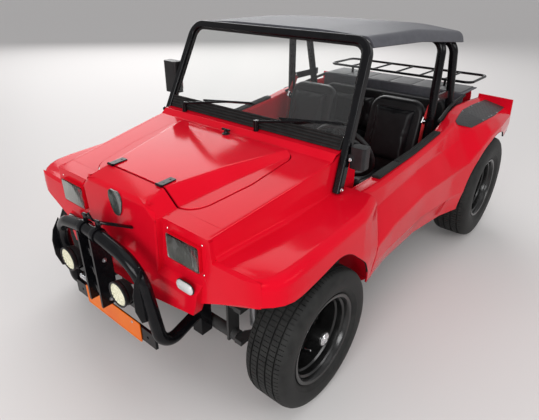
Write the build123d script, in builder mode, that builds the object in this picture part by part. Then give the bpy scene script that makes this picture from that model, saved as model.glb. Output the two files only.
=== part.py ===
# Dune buggy on a rear-engine platform: a fibreglass body in bolted sections over a steel floor
# pan, a tubular bull bar, a raked windscreen and a hard roof on a four-post cage.
# Millimetres. Forward is -Y, the driver's left is +X, up is +Z, and the ground is Z = 0.
# While the pieces are shaped, Y is measured backwards from the front axle.
import math
import os

from build123d import *

os.makedirs("parts", exist_ok=True)

# Overall places
WHEELBASE = 1890
FRONT_REACH = 538
REAR_OVERHANG = 630
REAR_REACH = WHEELBASE + REAR_OVERHANG
FRONT_AXLE_Y = (FRONT_REACH - REAR_REACH) / 2
SEAT_GAP = 0.3

# Wheels
RIM_R = 203
FRONT_SIDEWALL = 106
FRONT_TYRE_R = RIM_R + FRONT_SIDEWALL
FRONT_TYRE_W = 200
FRONT_WHEEL_X = 714
FRONT_RIM_W = 152
FRONT_DISC_X = -42
REAR_SIDEWALL = 146
REAR_TYRE_R = RIM_R + REAR_SIDEWALL
REAR_TYRE_W = 238
REAR_WHEEL_X = 720
REAR_RIM_W = 190
REAR_DISC_X = -50
RIM_LIP = 20
BEAD_R = RIM_R - RIM_LIP + 3
SLOTS = 8
SLOT_RING_R = 136
SLOT_L = 46
SLOT_W = 26

# Front axle and steering
KINGPIN_X = 575
BEAM_Y = -150
ARM_RISE = 87
ARM_T = 26
BEAM_TUBE_R = 27
SPINDLE_R = 16
STEER_ARM_Y = 120
STEER_ARM_Z = FRONT_TYRE_R + 21
COLUMN_X = 330
WHEEL_Y = 815
WHEEL_Z = 790
COLUMN_RAKE = 28

# Floor and body walls
PAN_Z = 236
PAN_T = 6
WALL = 8
PANEL_JOIN_Y = 400
NOSE_BACK_Y = -330
PAN_REAR_Y = WHEELBASE - 375
TAIL_Y = WHEELBASE + 400
LID_GAP = 5

# Windscreen and roof
POST_FOOT = (604, 318, 790)
POST_HEAD = (545, 588, 1388)
FRAME_W = 36
FRAME_D = 44
ROOF_T = 12
CAGE_R = 25


def station(y):
    """Upright cross-section plane at a distance behind the front axle."""
    return Plane(origin=(0, y, 0), x_dir=(1, 0, 0), z_dir=(0, -1, 0))


def side_plane(x):
    """Upright lengthwise plane, local x backwards and local y up."""
    return Plane(origin=(x, 0, 0), x_dir=(0, 1, 0), z_dir=(1, 0, 0))


def level(z):
    """Flat plane at a height."""
    return Plane.XY.offset(z)


def set_in(points, wall):
    """The same line moved to its left by the wall, with mitred corners."""
    line = [Vector(x, z) for x, z in points]
    moved = []
    for i, here in enumerate(line):
        before = (here - line[i - 1]).normalized() if i else (line[1] - here).normalized()
        after = (line[i + 1] - here).normalized() if i + 1 < len(line) else before
        n1 = Vector(-before.Y, before.X)
        n2 = Vector(-after.Y, after.X)
        step = (n1 + n2) * (wall / (1 + n1.dot(n2)))
        moved.append((here.X + step.X, here.Y + step.Y))
    return moved


def wall_outline(points, wall):
    """Closed outline of a moulded wall of even thickness."""
    return points + list(reversed(set_in(points, wall)))


def soft_wall(points, wall, soft):
    """Lines of a moulded wall of even thickness, with a radius for each corner of its outer line."""
    inner = set_in(points, wall)
    inner_soft = []
    for before, here, after, radius in zip(points, points[1:], points[2:], soft):
        turn = (here[0] - before[0]) * (after[1] - here[1]) - (here[1] - before[1]) * (after[0] - here[0])
        inner_soft.append(max(radius - wall, 1) if turn > 0 else radius + wall)
    FilletPolyline(*points, radius=soft)
    FilletPolyline(*inner, radius=inner_soft)
    Line(points[0], inner[0])
    Line(points[-1], inner[-1])


def both_sides(half):
    """A line from the left edge to the middle, carried on to the right edge."""
    return half + [(-x, z) for x, z in reversed(half) if x]


def mirrored(part):
    return mirror(part, about=Plane.YZ)


pieces = {}

# Floor pan with its tunnel, the tapered frame head and the rear fork
PAN_HALF_W = 606
TUNNEL_W = 70
TUNNEL_H = 130
HEAD_HALF_W = 150
HEAD_REAR_HALF_W = 370
HEAD_H = 60
HEAD_DROP = 20
UPSTAND = 70
FORK_X = 150
FORK_HALF_W = 20
BULKHEAD_Y = 384
with BuildPart() as floor_pan:
    pan_line = both_sides(
        [
            (PAN_HALF_W, PAN_Z),
            (TUNNEL_W, PAN_Z),
            (TUNNEL_W - 12, PAN_Z + TUNNEL_H),
        ]
    )
    with BuildSketch(station(PAN_REAR_Y)):
        with BuildLine():
            Polyline(*wall_outline(pan_line, PAN_T), close=True)
        make_face()
    extrude(amount=PAN_REAR_Y - BULKHEAD_Y - SEAT_GAP)
    head_front = BEAM_Y + BEAM_TUBE_R + SEAT_GAP
    with BuildSketch(level(PAN_Z - PAN_T - HEAD_DROP)):
        with BuildLine():
            Polyline(
                (HEAD_REAR_HALF_W, BULKHEAD_Y + 20),
                (HEAD_HALF_W, head_front),
                (-HEAD_HALF_W, head_front),
                (-HEAD_REAR_HALF_W, BULKHEAD_Y + 20),
                close=True,
            )
        make_face()
    extrude(amount=HEAD_H + HEAD_DROP)
    for x in (FORK_X, -FORK_X):
        with Locations((x, PAN_REAR_Y + 180, PAN_Z + 25)):
            Box(2 * FORK_HALF_W, 380, 70)
    with Locations((0, PAN_REAR_Y - 4, PAN_Z + UPSTAND / 2)):
        Box(1080, 8, UPSTAND)
pieces["floor_pan"] = floor_pan.part

# Front beam: two tubes across, joined by shock towers
TOWER_X = 415
TOWER_TOP = 640
SHOCK_X = 462
SHOCK_Y = -62
SHOCK_R = 22
lower_arm_z = FRONT_TYRE_R - ARM_RISE
upper_arm_z = FRONT_TYRE_R + ARM_RISE
BEAM_END_X = 450
with BuildPart() as front_beam:
    for z in (lower_arm_z, upper_arm_z):
        with BuildSketch(Plane.YZ.offset(-BEAM_END_X)):
            with Locations((BEAM_Y, z)):
                Circle(BEAM_TUBE_R)
        extrude(amount=2 * BEAM_END_X)
    for side in (1, -1):
        with BuildSketch(side_plane(side * TOWER_X - 6)):
            with BuildLine():
                Polyline(
                    (BEAM_Y - 34, lower_arm_z - 20),
                    (BEAM_Y + 34, lower_arm_z - 20),
                    (BEAM_Y + 34, upper_arm_z + 60),
                    (SHOCK_Y + 26, TOWER_TOP - 30),
                    (SHOCK_Y + 26, TOWER_TOP),
                    (BEAM_Y + 10, TOWER_TOP),
                    (BEAM_Y - 34, upper_arm_z + 60),
                    close=True,
                )
            make_face()
        extrude(amount=12)
        with Locations((side * (TOWER_X + SHOCK_X + SHOCK_R) / 2, SHOCK_Y, TOWER_TOP - 6)):
            Box(SHOCK_X + SHOCK_R - TOWER_X + 12, 52, 12)
pieces["front_beam"] = front_beam.part

# Trailing arms: an upper and a lower arm each side, from the beam ends back to the ball joints
ARM_ROOT_X = BEAM_END_X + 20
with BuildPart() as front_arms:
    for side in (1, -1):
        for z in (lower_arm_z, upper_arm_z):
            with BuildSketch(level(z - ARM_T / 2)):
                with BuildLine():
                    Polyline(
                        (side * (BEAM_END_X + SEAT_GAP), BEAM_Y - 32),
                        (side * (ARM_ROOT_X + 22), BEAM_Y - 32),
                        (side * (ARM_ROOT_X + 22), BEAM_Y + 30),
                        (side * (KINGPIN_X + 18), 10),
                        (side * (KINGPIN_X - 24), 22),
                        (side * (BEAM_END_X + SEAT_GAP), BEAM_Y + 32),
                        close=True,
                    )
                make_face()
            extrude(amount=ARM_T)
pieces["front_arms"] = front_arms.part

# Shock absorbers, standing between the lower arms and the tower brackets
with BuildPart() as front_shocks:
    for side in (1, -1):
        with BuildSketch(level(lower_arm_z + 30)):
            with Locations((side * SHOCK_X, SHOCK_Y)):
                Circle(SHOCK_R)
        extrude(amount=TOWER_TOP - 12 - SEAT_GAP - lower_arm_z - 30)
        with BuildSketch(level(lower_arm_z + ARM_T / 2 + SEAT_GAP)):
            with Locations((side * (SHOCK_X + 14), SHOCK_Y)):
                Rectangle(56, 30)
        extrude(amount=30)
pieces["front_shocks"] = front_shocks.part

# Steering knuckle: an upright between the ball joints, a spindle outwards and a steering arm back
UPRIGHT_T = 34
upright_low = lower_arm_z + ARM_T / 2 + SEAT_GAP
upright_high = upper_arm_z - ARM_T / 2 - SEAT_GAP
SPINDLE_END_X = FRONT_WHEEL_X + 26
with BuildPart() as knuckle_left:
    with Locations((KINGPIN_X, 0, (upright_low + upright_high) / 2)):
        Box(UPRIGHT_T, 40, upright_high - upright_low)
    with BuildSketch(Plane.YZ.offset(KINGPIN_X)):
        with Locations((0, FRONT_TYRE_R)):
            Circle(30)
    extrude(amount=UPRIGHT_T / 2 + 4)
    with BuildSketch(Plane.YZ.offset(KINGPIN_X)):
        with Locations((0, FRONT_TYRE_R)):
            Circle(SPINDLE_R)
    extrude(amount=SPINDLE_END_X - KINGPIN_X)
    with BuildSketch(level(STEER_ARM_Z - 14)):
        with BuildLine():
            Polyline(
                (KINGPIN_X - 16, 0),
                (KINGPIN_X + 16, 0),
                (KINGPIN_X + 8, STEER_ARM_Y + 22),
                (KINGPIN_X - 32, STEER_ARM_Y + 22),
                close=True,
            )
        make_face()
    extrude(amount=14)
pieces["knuckle_left"] = knuckle_left.part
pieces["knuckle_right"] = mirrored(knuckle_left.part)

# Track rod: a straight bar lying on the two steering arms
TRACK_EYE_X = KINGPIN_X - 12
with BuildPart() as track_rod:
    with BuildSketch(Plane.YZ.offset(-TRACK_EYE_X)):
        with Locations((STEER_ARM_Y, STEER_ARM_Z + SEAT_GAP + 11)):
            Circle(11)
    extrude(amount=2 * TRACK_EYE_X)
    for side in (1, -1):
        with BuildSketch(level(STEER_ARM_Z + SEAT_GAP)):
            with Locations((side * TRACK_EYE_X, STEER_ARM_Y)):
                Circle(17)
        extrude(amount=30)
pieces["track_rod"] = track_rod.part


def wheel_profile(tyre_r, tyre_w, rim_w):
    """Half outline of a tyre as (width, radius): bead, bulge, shoulder and crown."""
    return [
        (rim_w / 2 - 4.4, BEAD_R),
        (rim_w / 2, RIM_R + 2),
        (tyre_w / 2, tyre_r - 62),
        (tyre_w / 2 - 10, tyre_r - 16),
        (tyre_w / 2 - 34, tyre_r),
    ]


def build_tyre(wheel_x, wheel_y, tyre_r, tyre_w, rim_w):
    half = wheel_profile(tyre_r, tyre_w, rim_w)
    outline = half + [(-x, r) for x, r in reversed(half)]
    with BuildPart() as tyre:
        with BuildSketch(Plane(origin=(wheel_x, wheel_y, tyre_r), x_dir=(1, 0, 0), z_dir=(0, -1, 0))):
            with BuildLine():
                Polyline(*outline, close=True)
            make_face()
        revolve(axis=Axis((wheel_x, wheel_y, tyre_r), (1, 0, 0)))
    return tyre.part


def build_rim(wheel_x, wheel_y, tyre_r, rim_w, disc_x, drum_r, drum_in, bore_r, nose_x):
    """Deep-dished steel wheel with oval slots, its drum behind and the hub nose in front."""
    plane = Plane(origin=(wheel_x, wheel_y, tyre_r), x_dir=(1, 0, 0), z_dir=(0, -1, 0))
    axle = Axis((wheel_x, wheel_y, tyre_r), (1, 0, 0))
    edge = rim_w / 2
    seat_r = BEAD_R - SEAT_GAP
    with BuildPart() as rim:
        with BuildSketch(plane):
            with BuildLine():
                Polyline(
                    (edge - 4, seat_r),
                    (edge, RIM_R),
                    (edge + 8, RIM_R),
                    (edge + 6, seat_r - 8),
                    (-edge - 6, seat_r - 8),
                    (-edge - 8, RIM_R),
                    (-edge, RIM_R),
                    (-edge + 4, seat_r),
                    close=True,
                )
            make_face()
        revolve(axis=axle)
        with BuildSketch(plane):
            with BuildLine():
                Polyline(
                    (disc_x - 34, seat_r - 4),
                    (disc_x - 34, seat_r - 26),
                    (disc_x - 6, 150),
                    (disc_x, 96),
                    (disc_x, 34),
                    (nose_x - 6, 32),
                    (nose_x, 26),
                    (nose_x, 0),
                    (drum_in, 0),
                    (drum_in, drum_r),
                    (disc_x - 20, drum_r),
                    (disc_x - 14, 150),
                    (disc_x - 48, seat_r - 26),
                    (disc_x - 48, seat_r - 4),
                    close=True,
                )
            make_face()
        revolve(axis=axle)
        slot_plane = Plane(
            origin=(wheel_x + disc_x + 30, wheel_y, tyre_r), x_dir=(0, 1, 0), z_dir=(1, 0, 0)
        )
        with BuildSketch(slot_plane):
            with PolarLocations(SLOT_RING_R, SLOTS):
                SlotOverall(SLOT_L, SLOT_W, rotation=90)
        extrude(amount=-70, mode=Mode.SUBTRACT)
        with BuildSketch(slot_plane.offset(drum_in - disc_x - 30)):
            Circle(bore_r)
        extrude(amount=nose_x - drum_in - 30, mode=Mode.SUBTRACT)
    return rim.part


DRUM_R = 118
BORE_CLEAR = 0.4
front_drum_in = KINGPIN_X + UPRIGHT_T / 2 + 9 - FRONT_WHEEL_X
FRONT_NOSE_X = FRONT_TYRE_W / 2 - 18
front_hub = (FRONT_WHEEL_X, 0, FRONT_TYRE_R)
tyre_front = build_tyre(*front_hub, FRONT_TYRE_W, FRONT_RIM_W)
rim_front = build_rim(
    *front_hub, FRONT_RIM_W, FRONT_DISC_X, DRUM_R, front_drum_in, SPINDLE_R + BORE_CLEAR, FRONT_NOSE_X
)
pieces["tyre_front_left"] = tyre_front
pieces["tyre_front_right"] = mirrored(tyre_front)
pieces["rim_front_left"] = rim_front
pieces["rim_front_right"] = mirrored(rim_front)

# Rear wheels on the stub axles
HOUSING_X = 572
STUB_R = 20
rear_drum_in = HOUSING_X + 6 - REAR_WHEEL_X
REAR_NOSE_X = 30
rear_hub = (REAR_WHEEL_X, WHEELBASE, REAR_TYRE_R)
tyre_rear = build_tyre(*rear_hub, REAR_TYRE_W, REAR_RIM_W)
rim_rear = build_rim(
    *rear_hub, REAR_RIM_W, REAR_DISC_X, DRUM_R, rear_drum_in, STUB_R + BORE_CLEAR, REAR_NOSE_X
)
pieces["tyre_rear_left"] = tyre_rear
pieces["tyre_rear_right"] = mirrored(tyre_rear)
pieces["rim_rear_left"] = rim_rear
pieces["rim_rear_right"] = mirrored(rim_rear)

# Gearbox between the fork arms, with a bell housing towards the engine
GEARBOX_R = 105
GEARBOX_Z = 335
BELL_Y = WHEELBASE + 170
with BuildPart() as gearbox:
    with BuildSketch(station(PAN_REAR_Y + 60)):
        with Locations((0, GEARBOX_Z)):
            Circle(GEARBOX_R - 25)
    with BuildSketch(station(WHEELBASE - 90)):
        with Locations((0, GEARBOX_Z)):
            Circle(GEARBOX_R)
    with BuildSketch(station(WHEELBASE + 60)):
        with Locations((0, GEARBOX_Z)):
            Circle(GEARBOX_R)
    with BuildSketch(station(BELL_Y)):
        with Locations((0, GEARBOX_Z)):
            Circle(GEARBOX_R + 60)
    loft(ruled=True)
pieces["gearbox"] = gearbox.part

# Rear axle: torsion tube, spring plates, axle tubes with bearing housings and stub axles
TORSION_Y = PAN_REAR_Y + 75
TORSION_Z = 330
TORSION_R = 36
PLATE_X = 528
with BuildPart() as rear_suspension:
    for side in (1, -1):
        with BuildSketch(side_plane(side * FORK_X + side * 20.5)):
            with Locations((TORSION_Y, TORSION_Z)):
                Circle(TORSION_R)
        extrude(amount=side * (PLATE_X + 12 - FORK_X - 20.5))
        with BuildSketch(side_plane(side * PLATE_X)):
            with BuildLine():
                Polyline(
                    (TORSION_Y - 30, TORSION_Z - 40),
                    (TORSION_Y + 20, TORSION_Z - 44),
                    (WHEELBASE + 46, REAR_TYRE_R - 40),
                    (WHEELBASE + 46, REAR_TYRE_R + 40),
                    (TORSION_Y - 30, TORSION_Z + 40),
                    close=True,
                )
            make_face()
        extrude(amount=side * 12)
        with BuildSketch(side_plane(side * (GEARBOX_R + SEAT_GAP))):
            with Locations((WHEELBASE, REAR_TYRE_R)):
                Circle(38)
        extrude(amount=side * (HOUSING_X - GEARBOX_R - SEAT_GAP))
        with BuildSketch(side_plane(side * (HOUSING_X - 30))):
            with Locations((WHEELBASE, REAR_TYRE_R)):
                Circle(62)
        extrude(amount=side * 30)
        with BuildSketch(side_plane(side * HOUSING_X)):
            with Locations((WHEELBASE, REAR_TYRE_R)):
                Circle(STUB_R)
        extrude(amount=side * (REAR_WHEEL_X - 12 - HOUSING_X))
pieces["rear_suspension"] = rear_suspension.part

# Engine: crankcase, cylinder banks and the upright fan housing as one block
ENGINE_FRONT_Y = BELL_Y + SEAT_GAP
ENGINE_LEN = 330
CASE_HALF_W = 150
BANK_HALF_W = 390
FAN_TOP = 800
with BuildPart() as engine:
    with BuildSketch(station(ENGINE_FRONT_Y)):
        with BuildLine():
            Polyline(
                *both_sides(
                    [
                        (110, 230),
                        (CASE_HALF_W, 290),
                        (CASE_HALF_W, 320),
                        (BANK_HALF_W, 330),
                        (BANK_HALF_W, 440),
                        (CASE_HALF_W + 20, 470),
                        (120, 520),
                    ]
                ),
                close=True,
            )
        make_face()
    extrude(amount=-ENGINE_LEN)
    with BuildSketch(station(ENGINE_FRONT_Y + 60)):
        with BuildLine():
            Polyline(
                *both_sides([(290, 470), (290, 560), (160, FAN_TOP - 20), (110, FAN_TOP)]), close=True
            )
        make_face()
    extrude(amount=-110)
pieces["engine"] = engine.part

# Exhaust: a muffler across the back and two tail pipes
MUFFLER_Y = ENGINE_FRONT_Y + ENGINE_LEN + 62
MUFFLER_Z = 345
MUFFLER_R = 60
with BuildPart() as exhaust:
    with BuildSketch(Plane.YZ.offset(-330)):
        with Locations((MUFFLER_Y, MUFFLER_Z)):
            Circle(MUFFLER_R)
    extrude(amount=660)
    for side in (1, -1):
        with BuildSketch(station(MUFFLER_Y)):
            with Locations((side * 180, MUFFLER_Z - 45)):
                Circle(22)
        extrude(amount=MUFFLER_Y + 10 - REAR_REACH)
        with Locations((side * 250, MUFFLER_Y - 34, MUFFLER_Z + 30)):
            Box(44, 56 - 2 * SEAT_GAP, 44)
pieces["exhaust"] = exhaust.part

# Nose panel: the upright front with recessed lamp bays, the wing fronts and the rim of the bonnet
NOSE_FRONT_Y = -374
WING_FRONT_Y = -347
BONNET_FRONT_Y = -272
BAY_DEPTH = 26
LAMP_W = 182
LAMP_H = 112
LAMP_X = 382
LAMP_Z = 731
BAY = [
    # y, inner edge at the ledge, ledge height
    (NOSE_FRONT_Y + BAY_DEPTH, 234, 604),
    (NOSE_FRONT_Y - 4, 224, 570),
]
DECK_REAR_Y = 425
DECK = [
    # y, half width, height
    (NOSE_FRONT_Y, 508, 823),
    (NOSE_BACK_Y, 512, 830),
    (230, 569, 921),
    (312, 571, 936),
    (344, 570, 962),
    (DECK_REAR_Y, 566, 966),
]


def deck_at(y):
    """Half width and height of the front deck at a station, straight between its rows."""
    for (y0, x0, z0), (y1, x1, z1) in zip(DECK, DECK[1:]):
        if y <= y1:
            share = (y - y0) / (y1 - y0)
            return x0 + share * (x1 - x0), z0 + share * (z1 - z0)


WING_CORNER_R = 130
WING_X = 804


def wing_reach(y):
    """Half width over the wings, rounded in plan at their front corners."""
    back = max(WING_FRONT_Y + WING_CORNER_R - y, 0)
    return WING_X - WING_CORNER_R + math.sqrt(WING_CORNER_R**2 - back**2)


BULGE_SOFT = [24, 30, 30, 24]
HUMP = [
    # y, crown half width, crown height, foot half width
    (NOSE_FRONT_Y, 200, 872, 255),
    (BONNET_FRONT_Y - LID_GAP, 192, 902, 262),
]
with BuildPart() as nose_panel:
    with BuildSketch(station(NOSE_BACK_Y)):
        with BuildLine():
            Polyline(
                *both_sides(
                    [
                        (150, 424),
                        (428, 471),
                        (446, 520),
                        (508, 822),
                        (255, 823),
                        (200, 871),
                    ]
                ),
                close=True,
            )
        make_face()
    extrude(amount=NOSE_BACK_Y - NOSE_FRONT_Y)
    for side in (1, -1):
        for y, drop in ((NOSE_BACK_Y, 0), ((NOSE_BACK_Y + WING_FRONT_Y) / 2, 3), (WING_FRONT_Y, 8)):
            out = wing_reach(y)
            with BuildSketch(station(y)):
                with BuildLine():
                    Polyline(
                        (side * 430, 515),
                        (side * (out - 4), 640 - drop),
                        (side * out, 690),
                        (side * (out - 6), 745 - drop),
                        (side * 522, 741 - drop),
                        (side * 512, 818),
                        (side * 478, 818),
                        close=True,
                    )
                make_face()
        loft(ruled=True)
    for y, crown_x, crown_z, foot_x in HUMP:
        deck_x, deck_z = deck_at(y)
        rim_line = both_sides([(deck_x, deck_z), (foot_x, deck_z + 2), (crown_x, crown_z)])
        with BuildSketch(station(y)):
            with BuildLine():
                soft_wall(rim_line, WALL, BULGE_SOFT)
            make_face()
    loft(ruled=True)
    for side in (1, -1):
        for y, inner, ledge in BAY:
            with BuildSketch(station(y)):
                with BuildLine():
                    Polyline(
                        (side * inner, ledge),
                        (side * (inner + 30), 840),
                        (side * (inner + 30), 920),
                        (side * 640, 920),
                        (side * 640, ledge + 14),
                        close=True,
                    )
                make_face()
        loft(ruled=True, mode=Mode.SUBTRACT)
pieces["nose_panel"] = nose_panel.part

# Front deck: the top panel round the bonnet opening, stepping up to the windscreen
BONNET_REAR_Y = 288
BONNET = [
    # y, half width
    (BONNET_FRONT_Y, 344),
    (0, 398),
    (BONNET_REAR_Y, 404),
]
BONNET_FRONT_SOFT = 100
BONNET_REAR_SOFT = 60
with BuildSketch() as bonnet_opening:
    with BuildLine():
        Polyline(*[(x, y) for y, x in BONNET], *[(-x, y) for y, x in reversed(BONNET)], close=True)
    make_face()
    fillet(bonnet_opening.vertices().group_by(Axis.Y)[0], BONNET_FRONT_SOFT)
    fillet(bonnet_opening.vertices().group_by(Axis.Y)[-1], BONNET_REAR_SOFT)
with BuildPart() as front_deck:
    for y, half_w, z in DECK[1:]:
        with BuildSketch(station(y)):
            with BuildLine():
                Polyline(*wall_outline([(half_w, z), (-half_w, z)], WALL), close=True)
            make_face()
    loft(ruled=True)
    with BuildSketch(level(700)):
        add(bonnet_opening.sketch)
    extrude(amount=400, mode=Mode.SUBTRACT)
    with Locations((0, BONNET_FRONT_Y - LID_GAP + SEAT_GAP - 100, 830)):
        Box(1200, 200, 200, mode=Mode.SUBTRACT)
pieces["front_deck"] = front_deck.part

# Bonnet lid: a flat rim at deck height and a tapering bulge along the middle
LID = [
    # y, crown half width, crown height, foot half width, foot height
    (BONNET_FRONT_Y, 190, 904, 262, 843),
    (0, 262, 930, 318, 887),
    (BONNET_REAR_Y, 352, 946, 392, 933),
]
LID_RIM = 420
with BuildPart() as hood_lid:
    for y, crown_x, crown_z, foot_x, foot_z in LID:
        lid_line = both_sides([(LID_RIM, foot_z - 1), (foot_x, foot_z), (crown_x, crown_z)])
        with BuildSketch(station(y)):
            with BuildLine():
                soft_wall(lid_line, WALL, BULGE_SOFT)
            make_face()
    loft(ruled=True)
    with BuildSketch(level(700)):
        add(bonnet_opening.sketch)
        offset(amount=-LID_GAP, kind=Kind.INTERSECTION)
    extrude(amount=400, mode=Mode.INTERSECT)
pieces["hood_lid"] = hood_lid.part

# Bonnet hinges: two straps on the lid, each with its barrel over the nose rim
HINGE_X = 165
HINGE_Y = BONNET_FRONT_Y - LID_GAP - 2
BARREL_R = 6
hinge_z = HUMP[1][2] + BARREL_R + SEAT_GAP
lid_rise = (LID[1][2] - LID[0][2]) / (LID[1][0] - LID[0][0])
with BuildPart() as hood_hinges:
    for side in (1, -1):
        with BuildSketch(side_plane(side * HINGE_X - 17)):
            with BuildLine():
                strap_low = LID[0][2] + SEAT_GAP
                Polyline(
                    (BONNET_FRONT_Y - 4, strap_low - 4 * lid_rise + 1),
                    (BONNET_FRONT_Y + 66, strap_low + 66 * lid_rise),
                    (BONNET_FRONT_Y + 66, strap_low + 66 * lid_rise + 5),
                    (BONNET_FRONT_Y - 4, strap_low - 4 * lid_rise + 7),
                    close=True,
                )
            make_face()
            with Locations((HINGE_Y, hinge_z)):
                Circle(BARREL_R)
        extrude(amount=34)
pieces["hood_hinges"] = hood_hinges.part

# Front wings: deck side, flat wing top and skirt, with the wheel arch cut out
ARCH_REAR_Y = 352
ARCH_SOFT = 190
FOOT_CUT_Z = 803


def post_inner(z):
    """Inner face of the screen post at a height."""
    share = (z - POST_FOOT[2]) / (POST_HEAD[2] - POST_FOOT[2])
    return POST_FOOT[0] + share * (POST_HEAD[0] - POST_FOOT[0]) - FRAME_W / 2 - 0.6


tyre_top = 2 * FRONT_TYRE_R
WING_CROWN_SOFT = 42
WING_FLANK_SOFT = 300
WING = [
    # y, lip (x, z), flank (x, z), crown (x, z), root (x, z), root radius
    *(
        (y, (wing_reach(y) - 3, 600), (wing_reach(y), 680), (wing_reach(y) - 6, crown_z), root, 24)
        for y, crown_z, root in (
            (NOSE_BACK_Y, 746, (523, 742)),
            (-306, 751, (526, 744)),
            (-276, 758, (530, 748)),
            (-236, 766, (537, 752)),
        )
    ),
    (-160, (803, 590), (806, 690), (800, 774), (547, 759), 24),
    (0, (803, 520), (807, 650), (800, 782), (570, 774), 24),
    (230, (798, 420), (806, 600), (796, 792), (post_inner(792), 792), 5),
    (312, (786, 395), (800, 572), (780, 796), (post_inner(797), 797), 5),
    (PANEL_JOIN_Y - 0.5, (768, 386), (790, 558), (752, 800), (post_inner(800), 800), 5),
]
with BuildPart() as front_wing_left:
    for y, lip, flank, crown, root, root_soft in WING:
        deck_x, deck_z = deck_at(y)
        deck_edge = (min(deck_x, post_inner(deck_z)), deck_z - WALL - 1)
        with BuildSketch(station(y)):
            with BuildLine():
                soft_wall(
                    [lip, flank, crown, root, deck_edge], WALL, [WING_FLANK_SOFT, WING_CROWN_SOFT, root_soft]
                )
            make_face()
    loft(ruled=True)
    with BuildSketch(station(PANEL_JOIN_Y - 0.5)):
        with BuildLine():
            end_lip, end_flank, end_crown = WING[-1][1:4]
            FilletPolyline(
                (604, end_lip[1] + 6), end_lip, end_flank, end_crown, (604, end_crown[1] - 2),
                close=True,
                radius=[0, 0, WING_FLANK_SOFT, WING_CROWN_SOFT, 0],
            )
        make_face()
    extrude(amount=WALL)
    with BuildSketch(side_plane(700)):
        with BuildLine():
            FilletPolyline(
                (-480, tyre_top + 32),
                (-200, tyre_top + 32),
                (90, tyre_top + 82),
                (280, FRONT_TYRE_R + 236),
                (ARCH_REAR_Y, FRONT_TYRE_R + 121),
                (ARCH_REAR_Y + 6, 100),
                (-480, 100),
                close=True,
                radius=ARCH_SOFT,
            )
        make_face()
    extrude(amount=200, mode=Mode.SUBTRACT)
pieces["front_wing_left"] = front_wing_left.part
pieces["front_wing_right"] = mirrored(front_wing_left.part)

# Front compartment: the tray below the bonnet and the bulkhead in front of the footwell
TRAY_X = 395
TRAY_Z = 520
with BuildPart() as front_compartment:
    with Locations((0, (NOSE_BACK_Y + BULKHEAD_Y) / 2, (TRAY_Z + 800) / 2)):
        Box(2 * TRAY_X, BULKHEAD_Y - NOSE_BACK_Y - 1, 800 - TRAY_Z)
    with Locations((0, (NOSE_BACK_Y + BULKHEAD_Y) / 2, TRAY_Z + WALL + 200)):
        Box(
            2 * TRAY_X - 2 * WALL,
            BULKHEAD_Y - NOSE_BACK_Y - 2 * WALL - 1,
            400,
            mode=Mode.SUBTRACT,
        )
    with BuildSketch(station(BULKHEAD_Y)):
        with BuildLine():
            Polyline(
                *both_sides(
                    [
                        (HEAD_REAR_HALF_W + 1, PAN_Z - PAN_T + HEAD_H + SEAT_GAP),
                        (HEAD_REAR_HALF_W + 1, PAN_Z - PAN_T),
                        (588, PAN_Z - PAN_T),
                        (588, 776),
                        (552, 776),
                        (548, deck_at(BULKHEAD_Y)[1] - WALL - 1),
                    ]
                ),
                close=True,
            )
        make_face()
    extrude(amount=WALL)
pieces["front_compartment"] = front_compartment.part

# Side sections: sill box, hollow flank with its crease, and the rear wing round the wheel
SIDE_FRONT_Y = PANEL_JOIN_Y
SILL_FOOT = PAN_Z + SEAT_GAP
REAR_ARCH_R = REAR_TYRE_R + 44
COCKPIT_L = WHEELBASE - 380 - SIDE_FRONT_Y
doorway = [SIDE_FRONT_Y + share * COCKPIT_L for share in (0.18, 0.54, 0.84, 1)]
SIDE_SOFT = [34, 34, 34, 26, 20]
SIDE = [
    # y, bottom, low crease, ridge, valley, shoulder, inner top, inner bottom, each (x, z)
    (SIDE_FRONT_Y, (768, 386), (781, 470), (790, 560), (716, 684), (686, 792), (600, 788), (600, SILL_FOOT)),
    (doorway[0], (738, 375), (766, 465), (772, 585), (704, 700), (686, 788), (600, 786), (600, SILL_FOOT)),
    (doorway[1], (716, 346), (746, 455), (750, 600), (676, 706), (676, 798), (600, 796), (600, SILL_FOOT)),
    (doorway[2], (738, 326), (766, 445), (768, 612), (684, 728), (676, 832), (598, 830), (598, SILL_FOOT)),
    (doorway[3], (786, 326), (802, 450), (800, 640), (716, 770), (664, 862), (584, 862), (584, 300)),
    (WHEELBASE - 270, (812, 400), (822, 520), (822, 710), (748, 812), (640, 876), (568, 890), (568, 452)),
    (WHEELBASE - 130, (832, 560), (836, 640), (834, 770), (772, 834), (614, 880), (556, 914), (556, 452)),
    (WHEELBASE + 60, (836, 650), (838, 710), (832, 784), (776, 828), (604, 872), (556, 930), (556, 452)),
    (TAIL_Y, (796, 662), (800, 712), (796, 776), (752, 818), (604, 852), (556, 884), (556, 560)),
]
TAIL_LIP_Z = 886
with BuildPart() as side_left:
    for y, *corners in SIDE:
        with BuildSketch(station(y)):
            with BuildLine():
                soft_wall(corners, WALL, SIDE_SOFT)
            make_face()
    loft(ruled=True)
    with BuildSketch(station(SIDE_FRONT_Y + 10)):
        with BuildLine():
            FilletPolyline(*SIDE[0][1:], close=True, radius=[0, *SIDE_SOFT, 0])
        make_face()
    extrude(amount=10)
    with BuildSketch(station(TAIL_Y)):
        with BuildLine():
            Polyline(
                (556, 560), (640, 640), (796, 662), (800, 712), (790, TAIL_LIP_Z - 8), (556, TAIL_LIP_Z + 2),
                close=True,
            )
        make_face()
    extrude(amount=12)
    with BuildSketch(side_plane(584)):
        with Locations((WHEELBASE, REAR_TYRE_R)):
            Circle(REAR_ARCH_R)
    extrude(amount=320, mode=Mode.SUBTRACT)
pieces["side_left"] = side_left.part
pieces["side_right"] = mirrored(side_left.part)

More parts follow.
